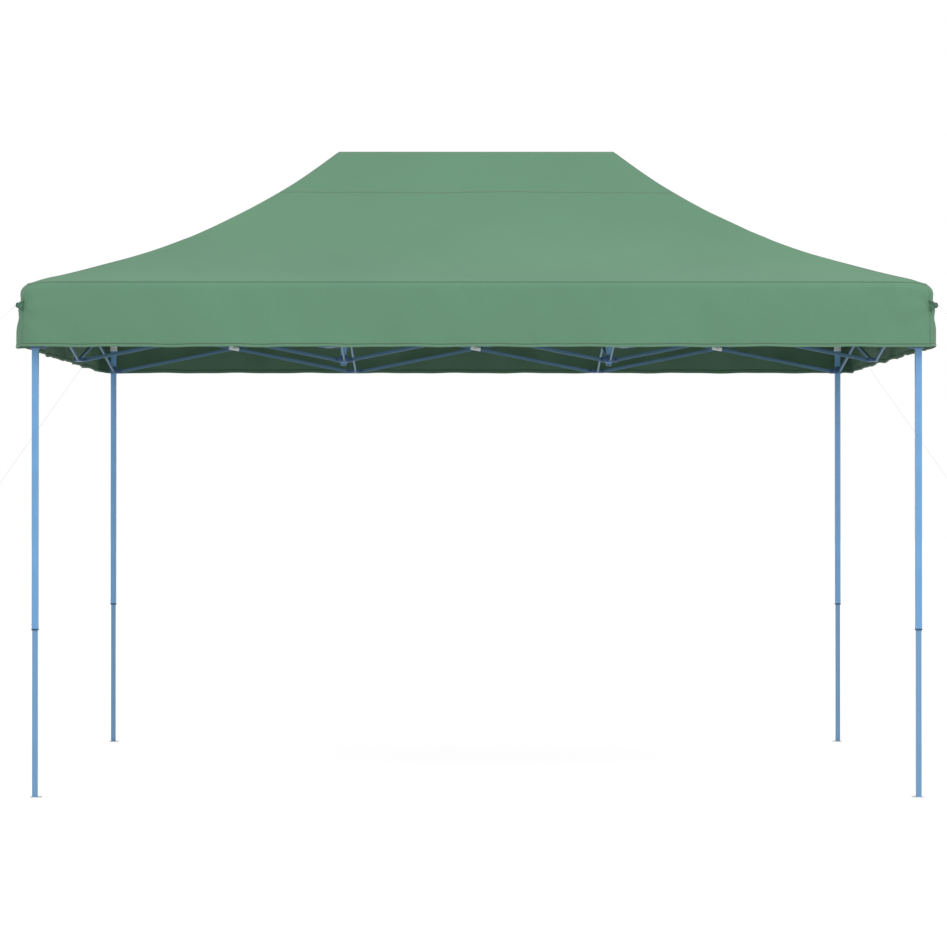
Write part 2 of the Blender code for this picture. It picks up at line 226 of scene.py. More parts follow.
# ---------------------------------------------------------------- materials
class Nodes:
    """A short way to write a node tree."""

    def __init__(self, name):
        self.material = bpy.data.materials.new(name)
        self.material.use_nodes = True
        self.tree = self.material.node_tree
        self.shader = self.tree.nodes["Principled BSDF"]

    def add(self, kind, **values):
        node = self.tree.nodes.new(kind)
        for key, value in values.items():
            setattr(node, key, value)
        return node

    def link(self, source, target):
        self.tree.links.new(source, target)

    def value(self, source, socket):
        """Links a socket, or writes a plain value."""
        if isinstance(source, bpy.types.NodeSocket):
            self.link(source, socket)
        else:
            socket.default_value = source

    def math(self, operation, first, second=0.0, third=0.0):
        node = self.add("ShaderNodeMath", operation=operation)
        for socket, source in zip(node.inputs, (first, second, third)):
            self.value(source, socket)
        return node.outputs[0]

    def mul(self, first, second, added=None):
        """first * second, or first * second + added."""
        if added is None:
            return self.math("MULTIPLY", first, second)
        return self.math("MULTIPLY_ADD", first, second, added)

    def sine(self, source, turns):
        return self.math("SINE", self.mul(source, turns))

    def below(self, source, limit):
        return self.math("LESS_THAN", source, limit)

    def split(self, vector):
        node = self.add("ShaderNodeSeparateXYZ")
        self.link(vector, node.inputs[0])
        return node.outputs

    def noise(self, vector, scale, detail=2.0, stretch=None):
        if stretch is not None:
            mapping = self.add("ShaderNodeMapping")
            mapping.inputs["Scale"].default_value = stretch
            self.link(vector, mapping.inputs["Vector"])
            vector = mapping.outputs[0]
        node = self.add("ShaderNodeTexNoise")
        node.inputs["Scale"].default_value = scale
        node.inputs["Detail"].default_value = detail
        self.link(vector, node.inputs["Vector"])
        return node.outputs["Fac"]

    def ramp(self, factor, stops):
        node = self.add("ShaderNodeValToRGB")
        for element, (place, colour) in zip(node.color_ramp.elements, stops):
            element.position = place
            element.color = (*colour, 1)
        self.link(factor, node.inputs[0])
        return node.outputs[0]

    def shades(self, factor, colour, *stops):
        """A ramp between shades of one colour. Each stop is a place and a share of the colour."""
        return self.ramp(factor, [(place, scaled(colour, share)) for place, share in stops])

    def marks(self, factor, low, high):
        """A mask of the places where factor is high."""
        return self.ramp(factor, [(low, (0, 0, 0)), (high, (1, 1, 1))])

    def mix(self, factor, first, second):
        node = self.add("ShaderNodeMix", data_type="RGBA")
        self.value(factor, node.inputs[0])
        for source, socket in ((first, node.inputs[6]), (second, node.inputs[7])):
            self.value(source if isinstance(source, bpy.types.NodeSocket) else (*source, 1), socket)
        return node.outputs[2]

    def bump(self, height, distance, strength=1.0, normal=None):
        node = self.add("ShaderNodeBump")
        node.inputs["Distance"].default_value = distance
        node.inputs["Strength"].default_value = strength
        self.link(height, node.inputs["Height"])
        if normal is not None:
            self.link(normal, node.inputs["Normal"])
        return node.outputs[0]

    def object_place(self):
        return self.add("ShaderNodeTexCoord").outputs["Object"]

    def uv(self):
        return self.add("ShaderNodeTexCoord").outputs["UV"]

    def set(self, **values):
        for key, value in values.items():
            self.shader.inputs[key.replace("_", " ")].default_value = value

    def colour(self, socket):
        self.link(socket, self.shader.inputs["Base Color"])

    def rough(self, socket):
        self.link(socket, self.shader.inputs["Roughness"])

    def normal(self, socket):
        self.link(socket, self.shader.inputs["Normal"])


def scaled(colour, factor):
    return tuple(min(1.0, part * factor) for part in colour)


def fabric_material(name, colour, roughness, sheen, thread=0.0009):
    """Plain-woven polyester. The threads run along the cloth's own UV, in metres."""
    n = Nodes(name)
    uv = n.uv()
    along, across, _ = n.split(uv)
    turns = 2 * math.pi / thread
    weave = n.mul(n.sine(along, turns), n.sine(across, turns))
    slub = n.noise(uv, 420, 1.0, (1, 0.12, 1))
    place = n.object_place()
    fine = n.noise(place, 38, 4.0)
    tone = n.mul(n.noise(place, 1.3, 3.0), 0.7, n.mul(fine, 0.3))
    shade = n.shades(tone, colour, (0.30, 0.93), (0.70, 1.06))
    thread_mix = n.mul(slub, 0.10, n.math("SUBTRACT", n.mul(weave, 0.03, 0.5), 0.05))
    n.colour(n.mix(n.mul(thread_mix, 0.16), shade, scaled(colour, 1.5)))
    n.rough(n.mul(fine, 0.12, roughness - 0.06))
    n.normal(n.bump(weave, 0.00008, 0.6, n.bump(fine, 0.0006, 0.35)))
    n.set(Sheen_Weight=sheen, Sheen_Roughness=0.4, Specular_IOR_Level=0.22)
    return n.material


def seam_material(name, colour, lines, pitch=0.0042, crease=0.0009):
    """Folded cloth with rows of stitches, each in a crease darkened with painted shade.

    UV runs along the seam and across it, in metres.
    """
    n = Nodes(name)
    along, across, _ = n.split(n.uv())
    nearest = None
    for line in lines:
        distance = n.math("ABSOLUTE", n.math("SUBTRACT", across, line))
        nearest = distance if nearest is None else n.math("MINIMUM", nearest, distance)
    dash = n.below(n.math("FRACT", n.math("DIVIDE", along, pitch)), 0.72)
    stitch = n.mul(n.below(nearest, 0.0004), dash)
    puckers = n.sine(along, 2 * math.pi / 0.011)
    fine = n.noise(n.object_place(), 160, 3.0)
    cloth = n.shades(fine, colour, (0.3, 0.9), (0.7, 1.05))
    # Painted shade: the cloth darkens to 0.45 of its colour in a band round each stitch line, as the crease's
    # shade.
    painted_crease_shade = n.mix(n.mul(n.below(nearest, crease), 0.80), cloth, scaled(colour, 0.45))
    n.colour(n.mix(n.mul(stitch, 0.5), painted_crease_shade, scaled(colour, 1.1)))
    n.normal(n.bump(stitch, 0.0004, 0.8, n.bump(n.math("ADD", puckers, fine), 0.0003, 0.5)))
    n.set(Roughness=0.8, Sheen_Weight=0.15, Specular_IOR_Level=0.3)
    return n.material


def paint_material(name, colour, roughness, wear, run, coat=0.25, gloss=0.5):
    """Powder coat: orange peel, a little dust, and faint scratches along the run of the part."""
    n = Nodes(name)
    place = n.object_place()
    dust = n.noise(place, 7, 4.0)
    lines = n.marks(n.noise(place, 60, 3.0, run), 0.66, 0.72)
    base = n.shades(dust, colour, (0.30, 0.93), (0.75, 1.05))
    n.colour(n.mix(n.mul(lines, wear), base, scaled(colour, 1.5)))
    n.rough(n.mul(dust, 0.16, n.mul(lines, -0.05, roughness - 0.08)))
    n.normal(n.bump(n.noise(place, 900, 2.0), 0.00012, 0.35))
    n.set(Metallic=0.0, Coat_Weight=coat, Coat_Roughness=0.22, Specular_IOR_Level=gloss)
    return n.material


def plastic_material(name, colour, roughness):
    """Moulded nylon with a fine spark-eroded grain and a few scuffs."""
    n = Nodes(name)
    place = n.object_place()
    cloud = n.noise(place, 30, 3.0)
    scuff = n.marks(n.noise(place, 130, 4.0, (1, 1, 0.3)), 0.62, 0.70)
    base = n.shades(cloud, colour, (0.3, 0.94), (0.7, 1.04))
    n.colour(n.mix(n.mul(scuff, 0.25), base, scaled(colour, 1.3)))
    n.rough(n.mul(cloud, 0.14, roughness - 0.07))
    n.normal(n.bump(n.noise(place, 1500, 2.0), 0.0001, 0.4))
    n.set(Specular_IOR_Level=0.45)
    return n.material


def steel_material(name, colour, roughness):
    """Zinc plate: a mottled grey with brushed marks."""
    n = Nodes(name)
    place = n.object_place()
    spangle = n.add("ShaderNodeTexVoronoi")
    spangle.inputs["Scale"].default_value = 260
    n.link(place, spangle.inputs["Vector"])
    cloud = n.noise(place, 90, 4.0)
    tone = n.mul(spangle.outputs["Distance"], 0.5, n.mul(cloud, 0.6))
    n.colour(n.shades(tone, colour, (0.25, 0.8), (0.7, 1.12)))
    n.rough(n.mul(cloud, 0.2, roughness - 0.1))
    n.normal(n.bump(cloud, 0.0001, 0.4))
    n.set(Metallic=0.85)
    return n.material


def rope_material(name, colour):
    """Braided cord, whose strands cross along its length."""
    n = Nodes(name)
    place = n.object_place()
    fine = n.noise(place, 700, 3.0)
    x, y, z = n.split(place)
    strands = [n.sine(n.math("ADD", x, z), 2400), n.sine(n.math("SUBTRACT", y, z), 2400)]
    n.colour(n.shades(fine, colour, (0.3, 0.85), (0.7, 1.05)))
    n.normal(n.bump(n.math("MAXIMUM", *strands), 0.0002, 0.6, n.bump(fine, 0.0002, 0.4)))
    n.set(Roughness=0.85, Sheen_Weight=0.2)
    return n.material


def floor_material():
    n = Nodes("studio_floor")
    cloud = n.noise(n.object_place(), 0.7, 3.0)
    n.colour(n.ramp(cloud, [(0.3, (0.27, 0.27, 0.27)), (0.7, (0.29, 0.29, 0.29))]))
    n.set(Roughness=0.85, Specular_IOR_Level=0.1, Emission_Color=(1, 1, 1, 1), Emission_Strength=0.76)
    return n.material


GREEN = (0.098, 0.208, 0.130)
LEG_BLUE = (0.121, 0.288, 0.518)
INNER_BLUE = (0.116, 0.258, 0.443)
# The bars' own dark blue, with a green cast painted in for the light that comes through the green canopy.
BAR_BLUE = (0.065, 0.141, 0.218)
PALE_PLASTIC = (0.600, 0.630, 0.650)
# Dark blue of the sliders, lower joints and pole hubs: partly their own colour, partly painted shade,
# darkened to match the shade at the tops of the legs under the valance.
BLUE_PLASTIC = (0.045, 0.105, 0.215)
NAVY = (0.010, 0.058, 0.115)
STEEL = (0.560, 0.570, 0.590)
CORD_WHITE = (0.780, 0.780, 0.760)


def make_materials():
    return {
        "fabric": fabric_material("canopy_fabric", GREEN, 0.90, 0.03),
        # Painted shade: the cloth's inner face is the same green darkened, standing in for the shade inside
        # the canopy.
        "painted_inside_shade": fabric_material("canopy_inside_painted_shade", scaled(GREEN, 0.54), 0.66, 0.0),
        # The roof and hip seams: a little darker green, with painted shade in the creases beside the
        # stitches; the hem's stitched fold has the same painted shade.
        "seam": seam_material("canopy_seam", scaled(GREEN, 0.93), (-0.0035, 0.0035)),
        # Painted shadow: the eave's seam strip is a darker green that stands in for the shadow of the fold at
        # the eave.
        "painted_crease_shade": seam_material("canopy_eave_seam_painted_shadow", scaled(GREEN, 0.58), (0.0,)),
        "hem": seam_material("canopy_hem", scaled(GREEN, 1.02), (0.0108,), 0.0042, 0.0026),
        "webbing": fabric_material("webbing", scaled(GREEN, 0.85), 0.85, 0.1, 0.0022),
        "leg": paint_material("leg_paint", LEG_BLUE, 0.36, 0.10, (1, 1, 0.03)),
        "inner": paint_material("inner_leg_paint", INNER_BLUE, 0.34, 0.30, (1, 1, 0.02)),
        "bar": paint_material("bar_paint", BAR_BLUE, 0.50, 0.12, (0.04, 1, 1), 0.04, 0.22),
        "pale": plastic_material("pale_plastic", PALE_PLASTIC, 0.50),
        "blue": plastic_material("blue_plastic", BLUE_PLASTIC, 0.45),
        "navy": plastic_material("navy_plastic", NAVY, 0.42),
        "steel": steel_material("zinc_steel", STEEL, 0.36),
        "cord": rope_material("guy_cord", CORD_WHITE),
    }


# ---------------------------------------------------------------- shapes
class Shape:
    """Collects closed solids of several materials into one mesh."""

    def __init__(self, *materials):
        self.mesh = bmesh.new()
        self.materials = materials
        self.mesh.loops.layers.uv.new("UVMap")

    def paint(self, faces, material):
        index = self.materials.index(material)
        for face in faces:
            face.material_index = index

    def loft(self, rings, material, wrap=False, caps=True, matrix=None):
        """Joins rings of points in order. wrap joins the last to the first."""
        if matrix is not None:
            rings = [[matrix @ point for point in ring] for ring in rings]
        rows = [[self.mesh.verts.new(point) for point in ring] for ring in rings]
        faces = []
        for low, high in zip(rows, rows[1:] + rows[:1] if wrap else rows[1:]):
            for step in range(len(low)):
                after = (step + 1) % len(low)
                faces.append(self.mesh.faces.new((low[step], low[after], high[after], high[step])))
        if caps and not wrap:
            faces.append(self.mesh.faces.new(rows[0][::-1]))
            faces.append(self.mesh.faces.new(rows[-1]))
        self.paint(faces, material)

    def tube(self, walls, bottom, top, material):
        """A tube whose walls are an outer and an inner outline."""
        self.loft(tube_rings(*walls, bottom, top), material, wrap=True)

    def add_mesh(self, mesh, material):
        """Takes in a ready mesh, which is then removed."""
        start = len(self.mesh.faces)
        self.mesh.from_mesh(mesh)
        self.mesh.faces.ensure_lookup_table()
        self.paint(self.mesh.faces[start:], material)
        bpy.data.meshes.remove(mesh)

    def lathe(self, profile, sides, material, matrix=None):
        """Turns (radius, height) points round +Z. A radius of 0 closes an end in a point-like cap."""
        turns = [2 * math.pi * step / sides for step in range(sides)]
        rings = []
        for radius, height in profile:
            reach = max(radius, 0.0001)
            rings.append([Vector((reach * math.cos(turn), reach * math.sin(turn), height)) for turn in turns])
        self.loft(rings, material, matrix=matrix)

    def rivet(self, size, direction, place, material="steel", sides=20):
        """A domed rivet head that stands on place. size is its radius and its height."""
        radius, height = size
        profile = [(radius * 1.35, -0.0006), (radius * 1.35, 0.0004), (radius, 0.0005)]
        profile += [(radius * out, height * rise) for out, rise in RIVET_DOME]
        self.lathe(profile, sides, material, facing(direction, place))

    def build(self, name, sharp=38):
        bmesh.ops.recalc_face_normals(self.mesh, faces=self.mesh.faces)
        mesh = bpy.data.meshes.new(name)
        self.mesh.to_mesh(mesh)
        self.mesh.free()
        for key in self.materials:
            mesh.materials.append(MATERIALS[key])
        mesh.shade_smooth()
        mesh.set_sharp_from_angle(angle=math.radians(sharp))
        return mesh


def add_object(name, data, location=(0, 0, 0), rotation=(0, 0, 0)):
    thing = bpy.data.objects.new(name, data)
    thing.location = location
    thing.rotation_euler = rotation
    bpy.context.scene.collection.objects.link(thing)
    return thing


def place_piece(name, data, body, location=(0, 0, 0), rotation=(0, 0, 0), replaces=None):
    thing = add_object(name, data, location, rotation)
    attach(thing, body)
    if replaces:
        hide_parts(replaces)
    return thing


def place_part(shape, solid, ending, place, body=None):
    """Builds the shape and puts it in a CAD solid's place, on the body of the same name or the one given."""
    name = solid + ending
    place_piece(name, shape.build(name), body or solid, place, replaces=solid)


def rounded(width, depth, radius, centre=(0, 0), steps=4):
    """The outline of a rounded rectangle, anticlockwise."""
    points = []
    for quarter in range(4):
        x = (width / 2 - radius) * (1 if quarter in (0, 3) else -1)
        y = (depth / 2 - radius) * (1 if quarter in (0, 1) else -1)
        for step in range(steps + 1):
            turn = math.pi / 2 * (quarter + step / steps)
            points.append((centre[0] + x + radius * math.cos(turn), centre[1] + y + radius * math.sin(turn)))
    return points


def square(size, radius, centre=(0, 0)):
    return rounded(size, size, radius, centre)


def circle(radius, sides, centre=(0, 0)):
    turns = [2 * math.pi * (step + 0.5) / sides for step in range(sides)]
    return [(centre[0] + radius * math.cos(t), centre[1] + radius * math.sin(t)) for t in turns]


def ring_at(outline, height):
    return [Vector((x, y, height)) for x, y in outline]


def tube_rings(outer, inner, bottom, top):
    """Rings of a tube's wall, to be lofted with wrap."""
    return [ring_at(outer, bottom), ring_at(outer, top), ring_at(inner, top), ring_at(inner, bottom)]


def soft_block(size, radius, bottom, top, edge):
    """Rings of a square block whose ends are rounded off."""
    steps = ((1.0, 0.0), (0.3, 0.3), (0.0, 1.0))
    levels = [(inset, bottom + edge * rise) for inset, rise in steps]
    levels += [(inset, top - edge * rise) for inset, rise in reversed(steps)]
    return [ring_at(square(size - 2 * edge * inset, radius), z) for inset, z in levels]


def moulded(loops, bottom, top, edge=0.0008):
    """A plate with rounded edges, from an outline and its holes."""
    curve = bpy.data.curves.new("outline", "CURVE")
    curve.dimensions = "2D"
    curve.fill_mode = "BOTH"
    curve.extrude = (top - bottom) / 2 - edge
    curve.bevel_depth = edge
    curve.bevel_resolution = 1
    curve.offset = -edge
    for loop in loops:
        spline = curve.splines.new("POLY")
        spline.points.add(len(loop) - 1)
        for point, (x, y) in zip(spline.points, loop):
            point.co = (x, y, 0, 1)
        spline.use_cyclic_u = True
    holder = add_object("outline", curve)
    shape = holder.evaluated_get(bpy.context.evaluated_depsgraph_get())
    mesh = bpy.data.meshes.new_from_object(shape)
    bpy.data.objects.remove(holder, do_unlink=True)
    bpy.data.curves.remove(curve)
    clean = bmesh.new()
    clean.from_mesh(mesh)
    bmesh.ops.remove_doubles(clean, verts=clean.verts, dist=0.00001)
    clean.to_mesh(mesh)
    clean.free()
    mesh.transform(Matrix.Translation((0, 0, (top + bottom) / 2)))
    return mesh


def facing(direction, place):
    """A matrix that stands +Z along direction, at place."""
    turn = Vector(direction).to_track_quat("Z", "Y").to_matrix().to_4x4()
    return Matrix.Translation(place) @ turn


# ---------------------------------------------------------------- frame geometry
def node_place(node, z):
    return Vector((COLUMNS[node[0]], (node[1] - 1) * ROW_STEP, z))


def place_name(node):
    return f"{ROW_NAMES[node[1]]}_{COLUMN_NAMES[node[0]]}"


def truss_direction(start, end):
    return Vector((end[0] - start[0], end[1] - start[1], 0))


def reach_of(direction):
    return REACH_X if abs(direction.x) > 0.5 else REACH_Y


def bar_name(start, end):
    if start[1] == end[1]:
        return f"{ROW_NAMES[start[1]]}_truss_{min(start[0], end[0]) + 1}"
    return f"{COLUMN_NAMES[start[0]]}_truss_{ROW_NAMES[min(start[1], end[1]) * 2]}"


def arms_of(node):
    found = []
    for start, end in TRUSSES:
        if start == node:
            found.append(truss_direction(start, end))
        if end == node:
            found.append(truss_direction(end, start))
    return found


def hub_outline(directions, side):
    """The plan of a hub: a square block with a fork along each given direction."""
    gap = FORK_GAP_HALF
    cheek = gap + FORK_CHEEK
    offset = side * BAR_OFFSET
    points = []
    for turn in range(4):
        angle = turn * math.pi / 2
        direction = Vector((round(math.cos(angle)), round(math.sin(angle)), 0))
        left = UP.cross(direction)
        places = [(HUB_HALF - 0.003, -HUB_HALF), (HUB_HALF, -HUB_HALF + 0.003)]
        if any((direction - other).length < 0.1 for other in directions):
            tip = reach_of(direction) + BAR_END
            for low, high in ((offset - cheek, offset - gap), (offset + gap, offset + cheek)):
                middle = (low + high) / 2
                places += [(HUB_HALF, low), (tip - 0.004, low), (tip, middle - 0.0008)]
                places += [(tip, middle + 0.0008), (tip - 0.004, high), (HUB_HALF, high)]
        points += [(direction * out + left * aside).xy for out, aside in places]
    return points


def corner_nodes():
    return [(column, row) for column in (0, 3) for row in (0, 2)]


def inward(node):
    return Vector((1 if node[0] == 0 else -1, 1 if node[1] == 0 else -1, 0))


def add_hub(shape, directions, side, material, holes=(), rivet="steel", height=HUB_HEIGHT):
    """The moulded block and forks, with a riveted pin through each fork. Its middle is at the origin."""
    loops = [hub_outline(directions, side), *holes]
    shape.add_mesh(moulded(loops, -height / 2, height / 2), material)
    cheek = FORK_GAP_HALF + FORK_CHEEK
    for direction in directions:
        left = UP.cross(direction)
        centre = direction * reach_of(direction) + left * side * BAR_OFFSET
        for out in (left, -left):
            shape.rivet(PIN_RIVET, out, centre + out * cheek, rivet)


# ---------------------------------------------------------------- frame pieces
def add_sleeve(shape, turn):
    """The pale guide moulded round a bar at its rivet."""
    depth = BAR_THICKNESS + 2 * SLEEVE_WALL
    levels = [(0, -SLEEVE_HALF), (SLEEVE_SWELL, 0.003 - SLEEVE_HALF)]
    levels += [(SLEEVE_SWELL, SLEEVE_HALF - 0.003), (0, SLEEVE_HALF)]
    rings = []
    for swell, along in levels:
        outer = rounded(BAR_HEIGHT + 2 * (SLEEVE_WALL + swell), depth, 0.0030)
        rings.append(ring_at(outer, along))
    inner = rounded(BAR_HEIGHT + 0.0002, BAR_THICKNESS + 0.0002, 0.0022)
    rings += [ring_at(inner, along) for along in (SLEEVE_HALF, -SLEEVE_HALF)]
    shape.loft(rings, "pale", wrap=True, matrix=turn)


def bar_mesh(name, way=None):
    """A scissor bar along +X, with its middle at the origin.

    It has the rivet, and its partner lies on the side that way gives. Without way it has the guide.
    """
    shape = Shape("bar", "steel", "navy", "pale")
    outer = rounded(BAR_HEIGHT, BAR_THICKNESS, 0.0022)
    inner = rounded(BAR_HEIGHT - 2 * BAR_WALL, BAR_THICKNESS - 2 * BAR_WALL, 0.0015)
    half = BAR_LENGTH / 2 + BAR_END
    turn = Matrix.Rotation(math.radians(90), 4, "Y")
    shape.loft(tube_rings(outer, inner, 0.001 - half, half - 0.001), "bar", wrap=True, matrix=turn)
    for end in (-1, 1):
        rings = []
        for inset, back in PLUG_PROFILE:
            line = rounded(BAR_HEIGHT - 2 * inset, BAR_THICKNESS - 2 * inset, 0.0020)
            rings.append(ring_at(line, (half - back) * end))
        shape.loft(rings, "navy", matrix=turn)
    if way is None:
        add_sleeve(shape, turn)
        return shape.build(name)
    face = BAR_THICKNESS / 2
    far = 2 * BAR_OFFSET + face + SLEEVE_WALL
    for side, height in ((-way, face), (way, far)):
        shape.rivet(MIDDLE_RIVET, (0, side, 0), (0, side * height, 0), sides=24)
    shape.lathe([(0.0035, -0.001), (0.0035, far + 0.001)], 20, "steel", facing((0, way, 0), (0, 0, 0)))
    return shape.build(name)


def make_bars():
    """Of each crossed pair, the bar nearer the middle of the frame has the guide and the other the rivet."""
    guided = bar_mesh("guided_bar")
    riveted = {way: bar_mesh("riveted_bar", way) for way in (1, -1)}
    for start, end in TRUSSES:
        direction = truss_direction(start, end)
        across = UP.cross(direction)
        heading = math.atan2(direction.y, direction.x)
        middle = (node_place(start, UPPER_PIVOT_Z) + node_place(end, LOWER_PIVOT_Z)) / 2
        guided_way = 1 if across.dot(middle) > 0.01 else -1
        for kind, way in (("down", 1), ("up", -1)):
            mesh = guided if way == guided_way else riveted[way]
            node = f"{bar_name(start, end)}_bar_{kind}"
            place = middle - across * BAR_OFFSET * way
            turn = (0, BAR_TILT * way, heading)
            place_piece(f"{node}_tube", mesh, node, place, turn, node)


def add_dome(shape, material, radius, bottom, top):
    """A rounded cap on a round pole."""
    rise = top - bottom
    profile = [(radius, bottom - 0.006), (radius, bottom)]
    for step in range(1, 6):
        turn = math.pi / 2 * step / 5
        profile.append((radius * math.cos(turn), bottom + rise * math.sin(turn)))
    shape.lathe(profile, 28, material)


def make_upper_hubs():
    top = HUB_HEIGHT / 2
    for node in [(column, row) for column in (1, 2) for row in range(3)]:
        name = f"upper_hub_{place_name(node)}"
        shape = Shape("pale", "steel", "leg", "navy")
        if node[1] == 1:
            add_hub(shape, arms_of(node), -1, "pale", [circle(POLE_RADIUS + 0.0006, 24)])
            lip = [circle(POLE_RADIUS + 0.0050, 28), circle(POLE_RADIUS + 0.0007, 28)]
            shape.tube(lip, top - 0.001, top + 0.005, "pale")
            wall = [circle(radius, 24) for radius in POLE_INNER_RADII]
            shape.tube(wall, POLE_INNER_BOTTOM_Z - UPPER_PIVOT_Z, top + 0.003, "leg")
        else:
            add_hub(shape, arms_of(node), -1, "pale")
            shape.loft(soft_block(HUB_PAD, 0.006, top - 0.001, top + 0.006, 0.003), "pale")
            shape.rivet(PAD_RIVET, UP, (0, 0, top + 0.006))
        body = "canopy_and_hub" if node == (1, 1) else name
        place_part(shape, name, "_moulding", node_place(node, UPPER_PIVOT_Z), body)


def make_peak_poles():
    bottom, top = POLE_BOTTOM_Z - LOWER_PIVOT_Z, POLE_TOP_Z - LOWER_PIVOT_Z
    half = HUB_HEIGHT / 2
    for node in ((1, 1), (2, 1)):
        shape = Shape("leg", "blue", "steel", "navy")
        add_hub(shape, arms_of(node), 1, "blue", (), "navy")
        shape.tube([circle(POLE_RADIUS, 32), circle(POLE_RADIUS - TUBE_WALL, 32)], bottom, top - 0.008, "leg")
        add_dome(shape, "navy", POLE_RADIUS + 0.0006, top - 0.010, top + 0.004)
        plug = [(radius, depth - bottom) for radius, depth in POLE_PLUG]
        shape.lathe(plug, 28, "navy", Matrix.Rotation(math.pi, 4, "X"))
        lip = [circle(POLE_RADIUS + 0.0045, 28), circle(POLE_RADIUS + 0.0001, 28)]
        shape.tube(lip, half - 0.001, half + 0.010, "blue")
        name = f"peak_pole_{COLUMN_NAMES[node[0]]}"
        place_part(shape, name, "_tube", node_place(node, LOWER_PIVOT_Z))


def make_outer_legs():
    bottom = OUTER_BOTTOM_Z - UPPER_PIVOT_Z
    for node in corner_nodes():
        shape = Shape("leg", "pale", "steel", "navy")
        add_hub(shape, arms_of(node), -1, "pale")
        wall = [square(OUTER_TUBE, 0.0032), square(OUTER_TUBE - 2 * TUBE_WALL, 0.0022)]
        shape.tube(wall, bottom, 0.010, "leg")
        bore = square(BRACKET_BORE, 0.0032)
        shape.tube([square(BRACKET, 0.0045), bore], -0.138, -0.012, "pale")
        shape.tube([square(LIP, 0.0055), bore], -0.142, -0.134, "pale")
        shape.loft(soft_block(BRACKET, 0.005, 0.012, 0.019, 0.003), "pale")
        low, high = bottom - 0.001, bottom + 0.0065
        shape.loft(soft_block(COLLAR, 0.0045, low, high, COLLAR_EDGE), "navy", caps=False)
        edge, hole = square(COLLAR - 2 * COLLAR_EDGE, 0.0038), square(INNER_TUBE + 0.0006, 0.0030)
        rings = [ring_at(edge, low), ring_at(hole, low), ring_at(hole, high), ring_at(edge, high)]
        shape.loft(rings, "navy", caps=False)
        out_x, out_y, _ = -inward(node)
        outside = Vector((out_x, 0, 0))
        button = facing(outside, outside * OUTER_TUBE / 2 + UP * (bottom + BUTTON_RISE))
        shape.lathe(WASHER_PROFILE, 24, "navy", button)
        shape.lathe(BUTTON_PROFILE, 20, "steel", button)
        for height in (-0.040, -0.105):
            for out in (outside, Vector((0, out_y, 0))):
                shape.rivet(BRACKET_RIVET, out, out * BRACKET / 2 + UP * height, sides=18)
        name = f"outer_leg_{place_name(node)}"
        place_part(shape, name, "_tube", node_place(node, UPPER_PIVOT_Z))


def make_sliders():
    half = HUB_HEIGHT / 2
    for node in corner_nodes():
        shape = Shape("blue", "steel", "navy")
        add_hub(shape, arms_of(node), 1, "blue", [square(OUTER_TUBE + 0.0012, 0.0036)], "navy")
        sleeve = [square(LIP, 0.0050), square(OUTER_TUBE + 0.0011, 0.0034)]
        shape.tube(sleeve, half - 0.001, half + 0.012, "blue")
        out = Vector((0, -inward(node).y, 0))
        shape.lathe(KNOB_PROFILE, 24, "navy", facing(out, out * HUB_HALF))
        name = f"slider_{place_name(node)}"
        place_part(shape, name, "_moulding", node_place(node, LOWER_PIVOT_Z))


def make_inner_legs():
    for node in corner_nodes():
        shape = Shape("inner", "steel", "navy")
        wall = [square(INNER_TUBE, 0.0028), square(INNER_TUBE - 2 * TUBE_WALL, 0.0018)]
        shape.tube(wall, FOOT_THICKNESS, INNER_TOP_Z, "inner")
        middle = inward(node) * FOOT_INWARD
        hole = inward(node) * PEG_HOLE_INWARD
        plan = [square(FOOT_SIZE, 0.006, middle.xy), circle(PEG_HOLE_RADIUS, 20, hole.xy)[::-1]]
        shape.add_mesh(moulded(plan, 0, FOOT_THICKNESS, 0.0006), "steel")
        bead = []
        for step in range(5):
            turn = math.pi / 2 * step / 4
            grow = WELD_BEAD * (1 - math.sin(turn))
            rise = WELD_BEAD * (1 - math.cos(turn))
            line = square(INNER_TUBE + 2 * grow, 0.003 + grow)
            bead.append(ring_at(line, FOOT_THICKNESS - 0.0002 + rise))
        shape.loft(bead, "inner")
        name = f"inner_leg_{place_name(node)}"
        place_part(shape, name, "_tube", node_place(node, 0))


def make_loose_joints():
    """Moulded joints at the nodes without a hub in the CAD. Each hangs upright on a bar's pin."""
    spots = [((column, row), "lower") for column in (1, 2) for row in (0, 2)]
    spots += [((column, 1), level) for column in (0, 3) for level in ("upper", "lower")]
    for node, level in spots:
        direction = arms_of(node)[0]
        end = (int(node[0] + direction.x), int(node[1] + direction.y))
        starts_here = (node, end) in TRUSSES
        pair = (node, end) if starts_here else (end, node)
        upper = level == "upper"
        body = f"{bar_name(*pair)}_bar_{'down' if starts_here == upper else 'up'}"
        name = f"{level}_joint_{place_name(node)}"
        side, z = (-1, UPPER_PIVOT_Z) if upper else (1, LOWER_PIVOT_Z)
        colour, rivet = ("pale", "steel") if upper else ("blue", "navy")
        shape = Shape(colour, rivet)
        add_hub(shape, arms_of(node), side, colour, (), rivet, LOOSE_HEIGHT)
        pivot = direction * reach_of(direction)
        mesh = shape.build(name)
        mesh.transform(Matrix.Translation(-pivot))
        joint = place_piece(name, mesh, body, node_place(node, z) + pivot)
        upright = joint.constraints.new("COPY_ROTATION")
        upright.target = frame["bodies"]["canopy_and_hub"]


# ---------------------------------------------------------------- ropes
def loop_corner(out):
    """Where the canopy's sharp corner would be, at the height of the loops."""
    return Vector((out.x * HALF_X, out.y * HALF_Y, ROPE_START_Z))


